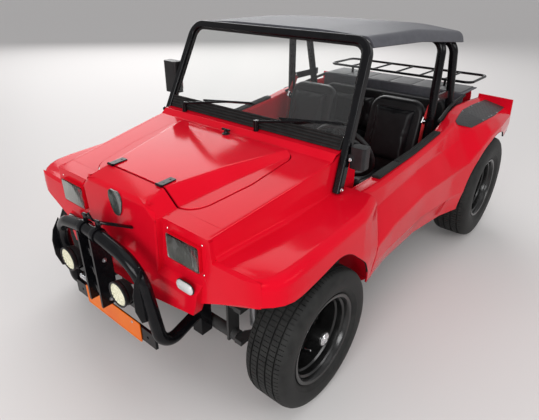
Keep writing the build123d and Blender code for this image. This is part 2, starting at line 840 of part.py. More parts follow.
# Rear tub: kick-up over the gearbox, seat shelf, bulkhead and the luggage shelf behind it
TUB_X = 555.5
SHELF_Z = 944
SHELF_FRONT_Y = WHEELBASE + 60
SHELF_REAR_Y = WHEELBASE + 315
BENCH_Z = 458
with BuildPart() as rear_tub:
    tub_line = [
        (PAN_REAR_Y, PAN_Z + UPSTAND + SEAT_GAP),
        (PAN_REAR_Y, BENCH_Z),
        (SHELF_FRONT_Y, BENCH_Z),
        (SHELF_FRONT_Y - 20, SHELF_Z),
        (SHELF_REAR_Y, SHELF_Z),
    ]
    with BuildSketch(side_plane(-TUB_X)):
        with BuildLine():
            Polyline(*wall_outline(tub_line, -WALL), close=True)
        make_face()
    extrude(amount=2 * TUB_X)
pieces["rear_tub"] = rear_tub.part

# Engine lid: hangs from the shelf's rear edge and curves down over the fan housing
LID_BARREL_R = 8
LID_HINGE_Y = SHELF_REAR_Y + LID_BARREL_R + SEAT_GAP
LID_HINGE_Z = SHELF_Z - 6
ENGINE_LID_X = 495
with BuildPart() as engine_lid:
    lid_side = [
        (LID_HINGE_Y + 3, LID_HINGE_Z + 4),
        (LID_HINGE_Y + 50, LID_HINGE_Z - 6),
        (LID_HINGE_Y + 102, LID_HINGE_Z - 66),
        (LID_HINGE_Y + 128, LID_HINGE_Z - 336),
    ]
    with BuildSketch(side_plane(-ENGINE_LID_X)):
        with BuildLine():
            soft_wall(lid_side, -WALL, [50, 60])
        make_face()
    extrude(amount=2 * ENGINE_LID_X)
    for x in (-340, 260):
        with BuildSketch(side_plane(x)):
            with Locations((LID_HINGE_Y, LID_HINGE_Z)):
                Circle(LID_BARREL_R)
        extrude(amount=80)
pieces["engine_lid"] = engine_lid.part

# Dashboard: a red moulding across the cockpit below the windscreen
DASH_X = 558
DASH_FACE_Y = 548
with BuildPart() as dashboard:
    with BuildSketch(side_plane(-DASH_X)):
        with BuildLine():
            FilletPolyline(
                (BULKHEAD_Y + SEAT_GAP, 700),
                (470, 690),
                (DASH_FACE_Y, 740),
                (DASH_FACE_Y, 880),
                (500, 934),
                (DECK_REAR_Y + 4, 948),
                (BULKHEAD_Y + SEAT_GAP, 948),
                close=True,
                radius=[0, 25, 25, 25, 30, 0, 0],
            )
        make_face()
    extrude(amount=2 * DASH_X)
pieces["dashboard"] = dashboard.part

# Steering column and steering wheel
COLUMN_R = 22
GRIP_R = 172
rake = math.radians(COLUMN_RAKE)
wheel_axis = Vector(0, math.cos(rake), math.sin(rake))
wheel_mid = Vector(COLUMN_X, WHEEL_Y, WHEEL_Z)
column_plane = Plane(origin=wheel_mid, x_dir=(1, 0, 0), z_dir=wheel_axis)
COLUMN_TOP = -50
with BuildPart() as steering_column:
    with BuildSketch(column_plane.offset(COLUMN_TOP - SEAT_GAP)):
        Circle(COLUMN_R)
    extrude(amount=-WHEEL_Y)
    split(bisect_by=Plane.XZ.offset(-BULKHEAD_Y - SEAT_GAP), keep=Keep.BOTTOM)
pieces["steering_column"] = steering_column.part

with BuildPart() as steering_wheel:
    with BuildSketch(Plane(origin=wheel_mid, x_dir=(1, 0, 0), z_dir=column_plane.y_dir)):
        with Locations((GRIP_R, 0)):
            Circle(14)
    revolve(axis=Axis(wheel_mid, wheel_axis))
    with BuildSketch(column_plane.offset(COLUMN_TOP)):
        Circle(38)
    extrude(amount=44)
    for turn in (30, 150, 270):
        arm = Vector(math.cos(math.radians(turn)), math.sin(math.radians(turn)))
        grip = column_plane.from_local_coords(Vector(arm.X * (GRIP_R - 6), arm.Y * (GRIP_R - 6), 0))
        hub = column_plane.from_local_coords(Vector(arm.X * 20, arm.Y * 20, COLUMN_TOP + 24))
        spoke = Plane(origin=hub, z_dir=grip - hub)
        with BuildSketch(spoke):
            Circle(8)
        extrude(amount=(grip - hub).length)
pieces["steering_wheel"] = steering_wheel.part

# Windscreen: raked frame, glass and the rubber strip along its foot
post_run = Vector(*POST_HEAD) - Vector(*POST_FOOT)
rake_dir = Vector(0, post_run.Y, post_run.Z).normalized()
screen_plane = Plane(
    origin=(0, POST_FOOT[1], POST_FOOT[2]), x_dir=(1, 0, 0), z_dir=Vector(1, 0, 0).cross(rake_dir)
)
screen_h = Vector(0, post_run.Y, post_run.Z).length
CORNER_R = 70
frame_path = [
    (POST_FOOT[0], 0),
    (POST_HEAD[0], screen_h),
    (-POST_HEAD[0], screen_h),
    (-POST_FOOT[0], 0),
]
STRIP_TOP = 246
GLASS_T = 6
with BuildPart() as windshield_frame:
    with BuildLine(screen_plane) as frame_line:
        FilletPolyline(*frame_path, radius=CORNER_R)
    with BuildSketch(Plane(origin=frame_line.line @ 0, z_dir=frame_line.line % 0, x_dir=(1, 0, 0))):
        RectangleRounded(FRAME_W, FRAME_D, 9)
    sweep(path=frame_line.line)
    split(bisect_by=level(FOOT_CUT_Z), keep=Keep.TOP)
pieces["windshield_frame"] = windshield_frame.part

glass_in = FRAME_W / 2 + SEAT_GAP
side_run = (POST_HEAD[0] - POST_FOOT[0]) / screen_h


def post_x(height):
    """Half width of the screen opening at a height along the screen."""
    return POST_FOOT[0] + side_run * height - glass_in * math.sqrt(1 + side_run**2)


with BuildPart() as windshield_glass:
    low = STRIP_TOP + SEAT_GAP
    high = screen_h - glass_in
    with BuildSketch(screen_plane.offset(-GLASS_T / 2)):
        with BuildLine():
            Polyline(
                (post_x(low), low), (post_x(high), high), (-post_x(high), high), (-post_x(low), low),
                close=True,
            )
        make_face()
        fillet(vertices().group_by(Axis.Y)[-1], CORNER_R - glass_in)
    extrude(amount=GLASS_T)
pieces["windshield_glass"] = windshield_glass.part

with BuildPart() as windshield_seal:
    strip_mid = screen_plane.from_local_coords(Vector(0, STRIP_TOP, 0))
    strip_z = deck_at(strip_mid.Y)[1] + SEAT_GAP
    strip_x = post_x(STRIP_TOP) - 1
    drop = (strip_mid.Z - strip_z) * rake_dir.Y / rake_dir.Z
    with BuildSketch(side_plane(-strip_x)):
        with BuildLine():
            Polyline(
                (strip_mid.Y - 15, strip_mid.Z + 6),
                (strip_mid.Y + 13, strip_mid.Z - 6),
                (strip_mid.Y + 13 - drop, strip_z + 1),
                (strip_mid.Y - 20 - drop, strip_z),
                close=True,
            )
        make_face()
    extrude(amount=2 * strip_x)
pieces["windshield_seal"] = windshield_seal.part

# Wipers: arms from the cowl to blades resting on the glass
WIPER_Y = 356
BLADE_L = 326
BLADE_X = 262
BLADE_RISE = 32
with BuildPart() as wipers:
    for pivot_x in (104, -420):
        pivot_z = deck_at(WIPER_Y)[1]
        blade_mid = screen_plane.from_local_coords(
            Vector(pivot_x + BLADE_X, STRIP_TOP + BLADE_RISE, GLASS_T / 2 + SEAT_GAP + 10)
        )
        pivot = Vector(pivot_x, WIPER_Y, pivot_z + 46)
        with BuildSketch(level(pivot_z + 1)):
            with Locations((pivot_x, WIPER_Y)):
                Circle(13)
        extrude(amount=52)
        with BuildSketch(Plane(origin=pivot, z_dir=blade_mid - pivot)):
            Circle(6)
        extrude(amount=(blade_mid - pivot).length)
        with BuildSketch(screen_plane.offset(GLASS_T / 2 + SEAT_GAP)):
            with Locations(Location((pivot_x + BLADE_X, STRIP_TOP + BLADE_RISE, 0), (0, 0, 7))):
                Rectangle(BLADE_L, 9)
        extrude(amount=18)
pieces["wipers"] = wipers.part

# Mirrors: black housings on short arms from the screen posts
MIRROR = [
    # side, centre height, reach from post, width, height
    (1, 948, 58, 72, 96),
    (-1, 1105, 74, 104, 176),
]
with BuildPart() as mirrors:
    for side, z, reach, mirror_w, mirror_h in MIRROR:
        share = (z - POST_FOOT[2]) / (POST_HEAD[2] - POST_FOOT[2])
        post = Vector(*POST_FOOT) + post_run * share
        x = side * (post.X + reach)
        with BuildSketch(level(z - mirror_h / 2)):
            with Locations((x, post.Y + 20)):
                RectangleRounded(mirror_w, 60, 16)
        extrude(amount=mirror_h)
        with Locations((side * (post.X + FRAME_W / 2 + 2 + 14), post.Y, z)):
            Box(28, 22, 26)
pieces["mirrors"] = mirrors.part

# Roof: a shallow moulded shell with rolled side edges, falling towards the back
ROOF = [
    # y, half width, crown height, edge height, lip height
    (POST_HEAD[1] + 28, 548, 1417, 1404, 1362),
    (1100, 566, 1424, 1400, 1346),
    (WHEELBASE - 175, 560, 1378, 1346, 1290),
]
ROOF_SOFT = [50, 1400, 1400, 50]


def roof_half(half_w, crown_z, edge_z, lip_z):
    """Left half of a roof section, from the rolled lip to the crown."""
    return [(half_w, lip_z), (half_w - 16, edge_z), (half_w * 0.5, crown_z)]


with BuildPart() as roof_top:
    for y, *sizes in ROOF:
        with BuildSketch(station(y)):
            with BuildLine():
                soft_wall(both_sides(roof_half(*sizes)), ROOF_T, ROOF_SOFT)
            make_face()
    loft(ruled=True)
pieces["roof_top"] = roof_top.part

# Roll cage: two hoops joined by plates, standing on the floor and the tub, with pads to the roof
CAGE_X = 556 - CAGE_R - 0.5
PAD_X = 400
HOOPS = [
    # foot y, foot z, top y, top z
    (PAN_REAR_Y - 37, PAN_Z + SEAT_GAP, PAN_REAR_Y - 53, 1330),
    (WHEELBASE - 10, BENCH_Z + SEAT_GAP, WHEELBASE - 250, 1308),
]
CAGE_FOOT_T = 16


def roof_under(x, y):
    """Height of the roof's lower face on the slope between crown and edge."""
    (y0, *front), (y1, *back) = ROOF[1:]
    share = (y - y0) / (y1 - y0)
    sizes = [a + share * (b - a) for a, b in zip(front, back)]
    (edge_x, edge_z), (crown_x, crown_z) = roof_half(*sizes)[1:]
    slope = (crown_z - edge_z) / (edge_x - crown_x)
    return edge_z + slope * (edge_x - x) - ROOF_T * math.sqrt(1 + slope**2)


with BuildPart() as roll_cage:
    for foot_y, foot_z, top_y, top_z in HOOPS:
        with BuildLine() as hoop:
            FilletPolyline(
                (CAGE_X, foot_y, foot_z + CAGE_FOOT_T / 2),
                (CAGE_X, top_y, top_z),
                (-CAGE_X, top_y, top_z),
                (-CAGE_X, foot_y, foot_z + CAGE_FOOT_T / 2),
                radius=80,
            )
        with BuildSketch(Plane(origin=hoop.line @ 0, z_dir=hoop.line % 0)):
            Circle(CAGE_R)
        sweep(path=hoop.line)
        for side in (1, -1):
            with BuildSketch(level(foot_z)):
                with Locations((side * CAGE_X, foot_y)):
                    Rectangle(2 * CAGE_R, 2 * CAGE_R + 6)
            extrude(amount=CAGE_FOOT_T)
            with BuildSketch(level(top_z)):
                with Locations((side * PAD_X, top_y)):
                    Rectangle(30, 30)
            extrude(amount=roof_under(PAD_X + 15, top_y + 15) - SEAT_GAP - top_z)
    for side in (1, -1):
        with Locations((side * CAGE_X, WHEELBASE - 250, 980)):
            Box(12, 300, 46)
pieces["roll_cage"] = roll_cage.part

# Luggage rack: a tube ring with slats, on short legs over the shelf
RACK_Z = 1000
RACK_R = 9
RACK_X = 560
RACK_Y = (WHEELBASE + 140, WHEELBASE + 480)
with BuildPart() as luggage_rack:
    with BuildLine() as ring:
        FilletPolyline(
            (RACK_X, RACK_Y[0], RACK_Z),
            (RACK_X, RACK_Y[1], RACK_Z),
            (-RACK_X, RACK_Y[1], RACK_Z),
            (-RACK_X, RACK_Y[0], RACK_Z),
            close=True,
            radius=50,
        )
    with BuildSketch(Plane(origin=ring.line @ 0, z_dir=ring.line % 0)):
        Circle(RACK_R)
    sweep(path=ring.line)
    for x in (-373, -187, 0, 187, 373):
        with BuildSketch(station(RACK_Y[1])):
            with Locations((x, RACK_Z)):
                Circle(RACK_R - 2)
        extrude(amount=RACK_Y[1] - RACK_Y[0])
    for x in (-373, 373):
        for y in (RACK_Y[0] + 30, SHELF_REAR_Y - 30):
            with BuildSketch(level(SHELF_Z + SEAT_GAP)):
                with Locations((x, y)):
                    Circle(RACK_R)
            extrude(amount=RACK_Z - SHELF_Z)
pieces["luggage_rack"] = luggage_rack.part

# Seats: two buckets in front, a bench behind
SEAT_X = 320
SEAT_HALF_W = 178
with BuildPart() as front_seats:
    for side in (1, -1):
        with BuildSketch(side_plane(side * SEAT_X - SEAT_HALF_W)):
            with BuildLine():
                Polyline(
                    (PAN_REAR_Y - 585, PAN_Z + SEAT_GAP),
                    (PAN_REAR_Y - 585, 480),
                    (PAN_REAR_Y - 555, 520),
                    (PAN_REAR_Y - 185, 490),
                    (PAN_REAR_Y - 75, 960),
                    (PAN_REAR_Y - 15, 960),
                    (PAN_REAR_Y - 45, 700),
                    (PAN_REAR_Y - 95, PAN_Z + SEAT_GAP),
                    close=True,
                )
            make_face()
        extrude(amount=2 * SEAT_HALF_W)
pieces["front_seats"] = front_seats.part

with BuildPart() as rear_bench:
    with BuildSketch(side_plane(-480)):
        with BuildLine():
            Polyline(
                (PAN_REAR_Y + 30, BENCH_Z + SEAT_GAP),
                (PAN_REAR_Y + 30, 560),
                (PAN_REAR_Y + 55, 580),
                (SHELF_FRONT_Y - 150, 560),
                (SHELF_FRONT_Y - 100, 890),
                (SHELF_FRONT_Y - 35, 890),
                (SHELF_FRONT_Y - 20, BENCH_Z + SEAT_GAP),
                close=True,
            )
        make_face()
    extrude(amount=960)
pieces["rear_bench"] = rear_bench.part

# Sill pads and the plates on the rear wings, both lying on the side sections
VALLEY, SHOULDER, INNER_TOP = range(4, 7)


def side_point(y, corner, toward, share):
    """Point of a side section between two of its corners, at any distance behind the axle."""
    for first, last in zip(SIDE, SIDE[1:]):
        if y <= last[0]:
            part = (y - first[0]) / (last[0] - first[0])
            rows = [[a + part * (b - a) for a, b in zip(first[c], last[c])] for c in (corner, toward)]
            return [a + share * (b - a) for a, b in zip(*rows)]


def lying_strip(ends, side, lift, depth):
    """Outline of a strip laid on a side section: two ends on the surface and its depth."""
    low = [(side * x, z + lift) for x, z in ends]
    return low + [(x, z + depth) for x, z in reversed(low)]


PAD_T = 15
with BuildPart() as sill_pads:
    for side in (1, -1):
        for y, *_ in SIDE[1:4]:
            ends = [side_point(y, INNER_TOP, SHOULDER, share) for share in (0.2, 0.72)]
            with BuildSketch(station(y)):
                with BuildLine():
                    Polyline(*lying_strip(ends, side, SEAT_GAP, PAD_T), close=True)
                make_face()
        loft(ruled=True)
pieces["sill_pads"] = sill_pads.part

PLATE_T = 4
PLATE_REACH = (0.25, 0.9, 0.96, 0.96, 0.96)
with BuildPart() as fender_plates:
    for side in (1, -1):
        for y, reach in zip((WHEELBASE - 350, *(row[0] for row in SIDE[5:8]), TAIL_Y - 25), PLATE_REACH):
            ends = [side_point(y, SHOULDER, VALLEY, share) for share in (0.05, reach)]
            with BuildSketch(station(y)):
                with BuildLine():
                    Polyline(*lying_strip(ends, side, SEAT_GAP, PLATE_T), close=True)
                make_face()
        loft(ruled=True)
pieces["fender_plates"] = fender_plates.part

# Lamps: headlamps in the bays, turn signals on the ledge below, tail lamps on the rear wings
bay_face_y = NOSE_FRONT_Y + BAY_DEPTH
with BuildPart() as headlamps:
    for side in (1, -1):
        with BuildSketch(station(bay_face_y - SEAT_GAP)):
            with Locations((side * LAMP_X, LAMP_Z)):
                RectangleRounded(LAMP_W, LAMP_H, 12)
        extrude(amount=18)
pieces["headlamps"] = headlamps.part

with BuildPart() as turn_signals:
    for side in (1, -1):
        with BuildSketch(station(NOSE_FRONT_Y - SEAT_GAP)):
            with Locations((side * 398, 594)):
                SlotOverall(96, 50)
        extrude(amount=16)
pieces["turn_signals"] = turn_signals.part

with BuildPart() as tail_lamps:
    for side in (1, -1):
        with BuildSketch(station(TAIL_Y + SEAT_GAP)):
            with Locations((side * 690, 770)):
                RectangleRounded(150, 90, 14)
        extrude(amount=-26)
pieces["tail_lamps"] = tail_lamps.part

# Bull bar: a bent hoop from the frame head up round the nose, with a lamp bar and brackets
BAR_R = 27
BAR_Y = -492
BAR_X = 318
BAR_TOP = 738
BAR_BENDS = [90, 150, 300]
TOW_PLATE_Z = 318
TOW_HOLE_X = 248
TOW_HOLE_R = 6.5
with BuildPart() as bull_bar:
    with BuildLine() as bar:
        FilletPolyline(
            (BAR_X - 40, BEAM_Y - BEAM_TUBE_R - 60, 310),
            (BAR_X, -450, 290),
            (BAR_X - 30, BAR_Y, 690),
            (60, BAR_Y - 8, BAR_TOP),
            (-60, BAR_Y - 8, BAR_TOP),
            (-BAR_X + 30, BAR_Y, 690),
            (-BAR_X, -450, 290),
            (-BAR_X + 40, BEAM_Y - BEAM_TUBE_R - 60, 310),
            radius=BAR_BENDS + BAR_BENDS[::-1],
        )
    with BuildSketch(Plane(origin=bar.line @ 0, z_dir=bar.line % 0)):
        Circle(BAR_R)
    sweep(path=bar.line)
    for z in (TOW_PLATE_Z, 470):
        with Locations((0, BAR_Y + 26, z)):
            Box(2 * (BAR_X - 20), 12, 70)
    with BuildSketch(station(BAR_Y + 40)):
        for side in (1, -1):
            with Locations((side * TOW_HOLE_X, TOW_PLATE_Z)):
                Circle(TOW_HOLE_R)
    extrude(amount=30, mode=Mode.SUBTRACT)
    for x in (-45, 45):
        with Locations((x, BAR_Y - 6, 568)):
            Box(12, 76, 330)
    for side in (1, -1):
        with Locations((side * (BAR_X - 40), BEAM_Y - BEAM_TUBE_R - SEAT_GAP - 30, FRONT_TYRE_R)):
            Box(60, 60, 2 * ARM_RISE + 40)
pieces["bull_bar"] = bull_bar.part

with BuildPart() as spot_lamps:
    for side in (1, -1):
        with BuildSketch(station(BAR_Y + 20 - SEAT_GAP)):
            with Locations((side * 186, 500)):
                Rectangle(40, 40)
        extrude(amount=14)
        with BuildSketch(station(BAR_Y + 6)):
            with Locations((side * 186, 542)):
                Circle(56)
        extrude(amount=BAR_Y + 6 + FRONT_REACH)
pieces["spot_lamps"] = spot_lamps.part

with BuildPart() as number_plate:
    with Locations((0, BAR_Y + 20 - SEAT_GAP - 2, TOW_PLATE_Z)):
        Box(410, 4, 98)
pieces["number_plate"] = number_plate.part

# Rear bumper: one bent tube bolted inside the rear wings and passing behind the exhaust
BUMPER_Y = REAR_REACH - 24
BUMPER_R = 24
BUMPER_X = 556 - BUMPER_R - 0.5
BUMPER_ARM = 416
with BuildPart() as rear_bumper:
    with BuildLine() as bumper:
        FilletPolyline(
            (BUMPER_X, BUMPER_Y - BUMPER_ARM, 600),
            (BUMPER_X, BUMPER_Y, 560),
            (-BUMPER_X, BUMPER_Y, 560),
            (-BUMPER_X, BUMPER_Y - BUMPER_ARM, 600),
            radius=80,
        )
    with BuildSketch(Plane(origin=bumper.line @ 0, z_dir=bumper.line % 0)):
        Circle(BUMPER_R)
    sweep(path=bumper.line)
pieces["rear_bumper"] = rear_bumper.part

for name, piece in pieces.items():
    placed = Pos(0, FRONT_AXLE_Y, 0) * piece
    placed.label = name
    export_step(placed, f"parts/{name}.step")
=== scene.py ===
import math

import bpy
from mathutils import Matrix, Vector
from mathutils.bvhtree import BVHTree


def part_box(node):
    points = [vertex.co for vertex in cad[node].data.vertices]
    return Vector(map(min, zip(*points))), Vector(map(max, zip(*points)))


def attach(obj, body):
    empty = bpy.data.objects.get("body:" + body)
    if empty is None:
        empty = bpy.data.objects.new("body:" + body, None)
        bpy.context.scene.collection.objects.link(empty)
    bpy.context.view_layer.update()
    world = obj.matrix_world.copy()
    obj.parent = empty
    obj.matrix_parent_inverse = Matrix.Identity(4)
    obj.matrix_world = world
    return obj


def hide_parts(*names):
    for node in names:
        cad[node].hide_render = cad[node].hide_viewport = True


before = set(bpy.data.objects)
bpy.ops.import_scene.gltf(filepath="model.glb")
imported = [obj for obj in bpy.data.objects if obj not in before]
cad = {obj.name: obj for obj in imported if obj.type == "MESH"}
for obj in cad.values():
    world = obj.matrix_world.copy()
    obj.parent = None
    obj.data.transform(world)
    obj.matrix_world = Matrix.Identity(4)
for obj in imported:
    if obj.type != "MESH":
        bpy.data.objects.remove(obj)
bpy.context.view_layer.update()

# The studio: a pale floor that runs past the horizon, a large soft panel on the far side that the bonnet
# mirrors, weaker soft lights overhead, beside the near flank and in front, and a camera at standing
# height before the left headlamp.
FLOOR_SIZE = 600
EYE = Vector((1.5116, -2.2165, 1.631))
YAW, PITCH, ROLL = (math.radians(angle) for angle in (39.798, 27.444, 0.662))
FOCAL_PX = 451.48
PHOTO_W = 539
SENSOR_W = 36

bpy.ops.mesh.primitive_plane_add(size=FLOOR_SIZE)
floor = bpy.context.object
floor.name = "studio_floor"
pale = bpy.data.materials.new("studio_pale")
pale.use_nodes = True
pale_skin = pale.node_tree.nodes["Principled BSDF"]
pale_skin.inputs["Base Color"].default_value = (0.68, 0.66, 0.652, 1)
pale_skin.inputs["Roughness"].default_value = 0.5
pale_skin.inputs["Specular IOR Level"].default_value = 0.15
floor.data.materials.append(pale)

world = bpy.data.worlds.new("studio_sky")
world.use_nodes = True
sky = world.node_tree.nodes["Background"]
sky.inputs["Color"].default_value = (0.95, 0.95, 0.96, 1)
sky.inputs["Strength"].default_value = 0.56
bpy.context.scene.world = world

for name, place, target, size, power in (
    ("far_panel", (-6.4, 5.0, 5.2), (0, -0.7, 0.8), (9.5, 7.4), 590),
    ("overhead", (0.6, -1.0, 4.6), (0, -0.4, 0.4), (4.0, 4.0), 36),
    ("near_flank", (4.6, -0.2, 2.4), (0.5, 0.2, 0.6), (3.0, 1.2), 50),
    ("front_fill", (2.0, -5.4, 2.4), (0, -1.2, 0.5), (3.0, 2.0), 150),
):
    bpy.ops.object.light_add(type="AREA", location=place)
    lamp = bpy.context.object
    lamp.name = name
    lamp.data.shape = "RECTANGLE"
    lamp.data.size, lamp.data.size_y = size
    lamp.data.energy = power
    lamp.rotation_euler = (Vector(target) - Vector(place)).to_track_quat("-Z", "Y").to_euler()

ahead = Vector((-math.sin(YAW) * math.cos(PITCH), math.cos(YAW) * math.cos(PITCH), -math.sin(PITCH)))
across = Vector((math.cos(YAW), math.sin(YAW), 0))
above = across.cross(ahead)
image_x = across * math.cos(ROLL) + above * math.sin(ROLL)
image_y = above * math.cos(ROLL) - across * math.sin(ROLL)
bpy.ops.object.camera_add()
camera = bpy.context.object
camera.data.sensor_width = SENSOR_W
camera.data.lens = FOCAL_PX * SENSOR_W / PHOTO_W
turn = Matrix((image_x, image_y, -ahead)).transposed().to_4x4()
camera.matrix_world = Matrix.Translation(EYE) @ turn
bpy.context.scene.camera = camera
bpy.context.scene.view_settings.view_transform = "Standard"


# The platform: a pressed steel floor with a tubular front axle, all in brushed-on black chassis
# paint that lies a little uneven.
def painted(name, colours, grain, rough, bump, **sockets):
    """A procedural finish: two close colours, uneven gloss and a fine relief, on object coordinates."""
    material = bpy.data.materials.new(name)
    material.use_nodes = True
    tree = material.node_tree
    skin = tree.nodes["Principled BSDF"]
    where = tree.nodes.new("ShaderNodeTexCoord")
    cloud = tree.nodes.new("ShaderNodeTexNoise")
    cloud.inputs["Scale"].default_value = grain
    cloud.inputs["Detail"].default_value = 5
    shades = tree.nodes.new("ShaderNodeValToRGB")
    for stop, colour, place in zip(shades.color_ramp.elements, colours, (0.3, 0.7)):
        stop.color = (*colour, 1)
        stop.position = place
    gloss = tree.nodes.new("ShaderNodeMapRange")
    gloss.inputs["To Min"].default_value, gloss.inputs["To Max"].default_value = rough
    relief = tree.nodes.new("ShaderNodeTexNoise")
    relief.inputs["Scale"].default_value = grain * bump[0]
    raised = tree.nodes.new("ShaderNodeBump")
    raised.inputs["Strength"].default_value = bump[1]
    raised.inputs["Distance"].default_value = 0.001
    for source, out, target, into in (
        (where, "Object", cloud, "Vector"), (where, "Object", relief, "Vector"),
        (cloud, "Fac", shades, "Fac"), (shades, "Color", skin, "Base Color"),
        (cloud, "Fac", gloss, "Value"), (gloss, "Result", skin, "Roughness"),
        (relief, "Fac", raised, "Height"), (raised, "Normal", skin, "Normal"),
    ):
        tree.links.new(source.outputs[out], target.inputs[into])
    for socket, value in sockets.items():
        skin.inputs[socket.replace("_", " ")].default_value = value
    return material


def mode(name):
    """Goes into edit mode or back to object mode."""
    bpy.ops.object.mode_set(mode=name)


def hold(piece):
    """Selects one piece alone and makes it the one that is worked on."""
    bpy.ops.object.select_all(action="DESELECT")
    piece.select_set(True)
    bpy.context.view_layer.objects.active = piece


def worked(piece, kind, **settings):
    """Works a piece with one modifier at the given settings and applies it."""
    hold(piece)
    step = piece.modifiers.new(kind.lower(), kind)
    for setting, value in settings.items():
        setattr(step, setting, value)
    bpy.ops.object.modifier_apply(modifier=step.name)
    return piece


def soften(piece, width, segments=2, fold=30):
    """Rounds the folds of a piece that are sharper than an angle."""
    limit = math.radians(fold)
    return worked(piece, "BEVEL", width=width, segments=segments, limit_method="ANGLE", angle_limit=limit)


def fit(piece, material, body="chassis", smooth=32):
    """Smooths the shallow folds of a piece and gives it its finish and body."""
    hold(piece)
    bpy.ops.object.transform_apply(location=True, rotation=True, scale=True)
    bpy.ops.object.shade_smooth_by_angle(angle=math.radians(smooth))
    piece.data.materials.clear()
    piece.data.materials.append(material)
    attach(piece, body)
    return piece


MERGE_AT = 0.00002
FLAT_TO = math.radians(0.4)
PANEL_FOLD = 28


def rounded(node, radius, material, body="chassis", first=None, smooth=32):
    """A piece begun from a CAD node: its corners merged, shaped first if asked, its folds rounded."""
    piece = bpy.data.objects.new("made_" + node, cad[node].data.copy())
    bpy.context.collection.objects.link(piece)
    hold(piece)
    mode("EDIT")
    bpy.ops.mesh.select_all(action="SELECT")
    bpy.ops.mesh.remove_doubles(threshold=MERGE_AT)
    bpy.ops.mesh.dissolve_limited(angle_limit=FLAT_TO)
    mode("OBJECT")
    if first:
        first(piece)
    soften(piece, radius, 3, PANEL_FOLD)
    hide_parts(node)
    fit(piece, material, body, smooth)
    return worked(piece, "WEIGHTED_NORMAL", keep_sharp=True)


chassis_paint = painted(
    "chassis_paint", ((0.018, 0.018, 0.019), (0.04, 0.039, 0.038)), 9, (0.35, 0.62), (30, 0.25)
)
for node, body in (
    ("floor_pan", "chassis"), ("front_beam", "chassis"), ("front_arms", "chassis"), ("track_rod", "track"),
    ("rear_suspension", "chassis"),
):
    rounded(node, 0.003, chassis_paint, body)
machined_steel = painted(
    "machined_steel", ((0.3, 0.3, 0.31), (0.42, 0.42, 0.43)), 40, (0.25, 0.45), (8, 0.15), Metallic=1.0
)
for node, body in (
    ("front_shocks", "chassis"), ("knuckle_left", "steer_left"), ("knuckle_right", "steer_right"),
):
    rounded(node, 0.002, machined_steel, body)

# The engine and gearbox: sand-cast alloy cases, and a muffler of plain steel browned by heat.
cast_alloy = painted(
    "cast_alloy", ((0.33, 0.33, 0.32), (0.46, 0.46, 0.45)), 14, (0.45, 0.7), (25, 0.6), Metallic=0.9
)
rounded("engine", 0.006, cast_alloy)
rounded("gearbox", 0.004, cast_alloy)
pipe_steel = painted(
    "pipe_steel", ((0.16, 0.13, 0.11), (0.3, 0.28, 0.26)), 12, (0.4, 0.65), (20, 0.3), Metallic=0.85
)
rounded("exhaust", 0.003, pipe_steel)

# The tyres: moulded rubber with rounded shoulders, four grooves round the tread and short cuts across
# its ribs. One pitch of the tread is drawn and cut, and the pitches then stand round the wheel.
FRONT_AXLE_Y = -0.991
RIM_R = 0.203
TREAD_PITCHES = 96
CUT_SHARE = 0.14
CUT_DEPTH = 0.004
GROOVE_W = 0.008
GROOVE_DEPTH = 0.0075
GROOVE_DRAFT = 0.001
GROOVES = (0.19, 0.54)
CROWN_DROP = 0.0015
RIB_DEPTH = 0.0068
BEAD_IN, BEAD_R = 0.0284, 0.186
TOUCHING = 0.00001
SIDEWALL = (
    # share of the sidewall up from the rim, how far in from the widest place
    (0.00, 0.024), (0.1, 0.012), (0.2, 0.007), (0.215, 0.005), (0.3, 0.003), (0.46, 0.0005),
    (0.61, 0.0015), (0.76, 0.006), (0.87, 0.013), (0.94, 0.022), (0.966, 0.03),
)
WHEELS = (
    # name, centre x, y behind the front axle, tyre radius, tyre width, rim width, disc face, hub nose
    ("front", 0.714, 0.0, 0.309, 0.2, 0.152, -0.042, 0.082),
    ("rear", 0.72, 1.89, 0.349, 0.238, 0.19, -0.05, 0.03),
)
MIRRORED = Matrix.Scale(-1, 4, (1, 0, 0))


def at(x, y, z):
    """A point of the vehicle, its length measured back from the front axle."""
    return Vector((x, y + FRONT_AXLE_Y, z))


def drawn(name, points):
    """Starts a piece as one vertex and draws it on, edge by edge, through the points."""
    bpy.ops.mesh.primitive_plane_add(size=0.01)
    piece = bpy.context.object
    piece.name = name
    mode("EDIT")
    bpy.ops.mesh.select_mode(type="VERT")
    bpy.ops.mesh.select_all(action="SELECT")
    bpy.ops.mesh.merge(type="CENTER")
    bpy.ops.transform.translate(value=points[0])
    for here, there in zip(points, points[1:]):
        step = Vector(there) - Vector(here)
        bpy.ops.mesh.extrude_vertices_move(TRANSFORM_OT_translate={"value": step})
    bpy.ops.mesh.select_all(action="SELECT")
    return piece


def closed_up():
    """Merges the doubled points of the piece in edit mode and turns its faces outwards."""
    bpy.ops.mesh.select_all(action="SELECT")
    bpy.ops.mesh.remove_doubles(threshold=TOUCHING)
    bpy.ops.mesh.normals_make_consistent(inside=False)
    mode("OBJECT")


def pick_faces(piece, wanted):
    """Selects, in edit mode, the faces whose centre and normal pass a test."""
    mode("OBJECT")
    for corner in piece.data.vertices:
        corner.select = False
    for edge in piece.data.edges:
        edge.select = False
    for face in piece.data.polygons:
        face.select = wanted(face.center, face.normal)
    mode("EDIT")
    bpy.ops.mesh.select_mode(type="FACE")


def twin(piece, name, place):
    """Another of a piece, with its own mesh, moved or mirrored by a matrix."""
    other = bpy.data.objects.new(name, piece.data.copy())
    bpy.context.collection.objects.link(other)
    other.data.transform(place)
    if place.determinant() < 0:
        other.data.flip_normals()
    return other


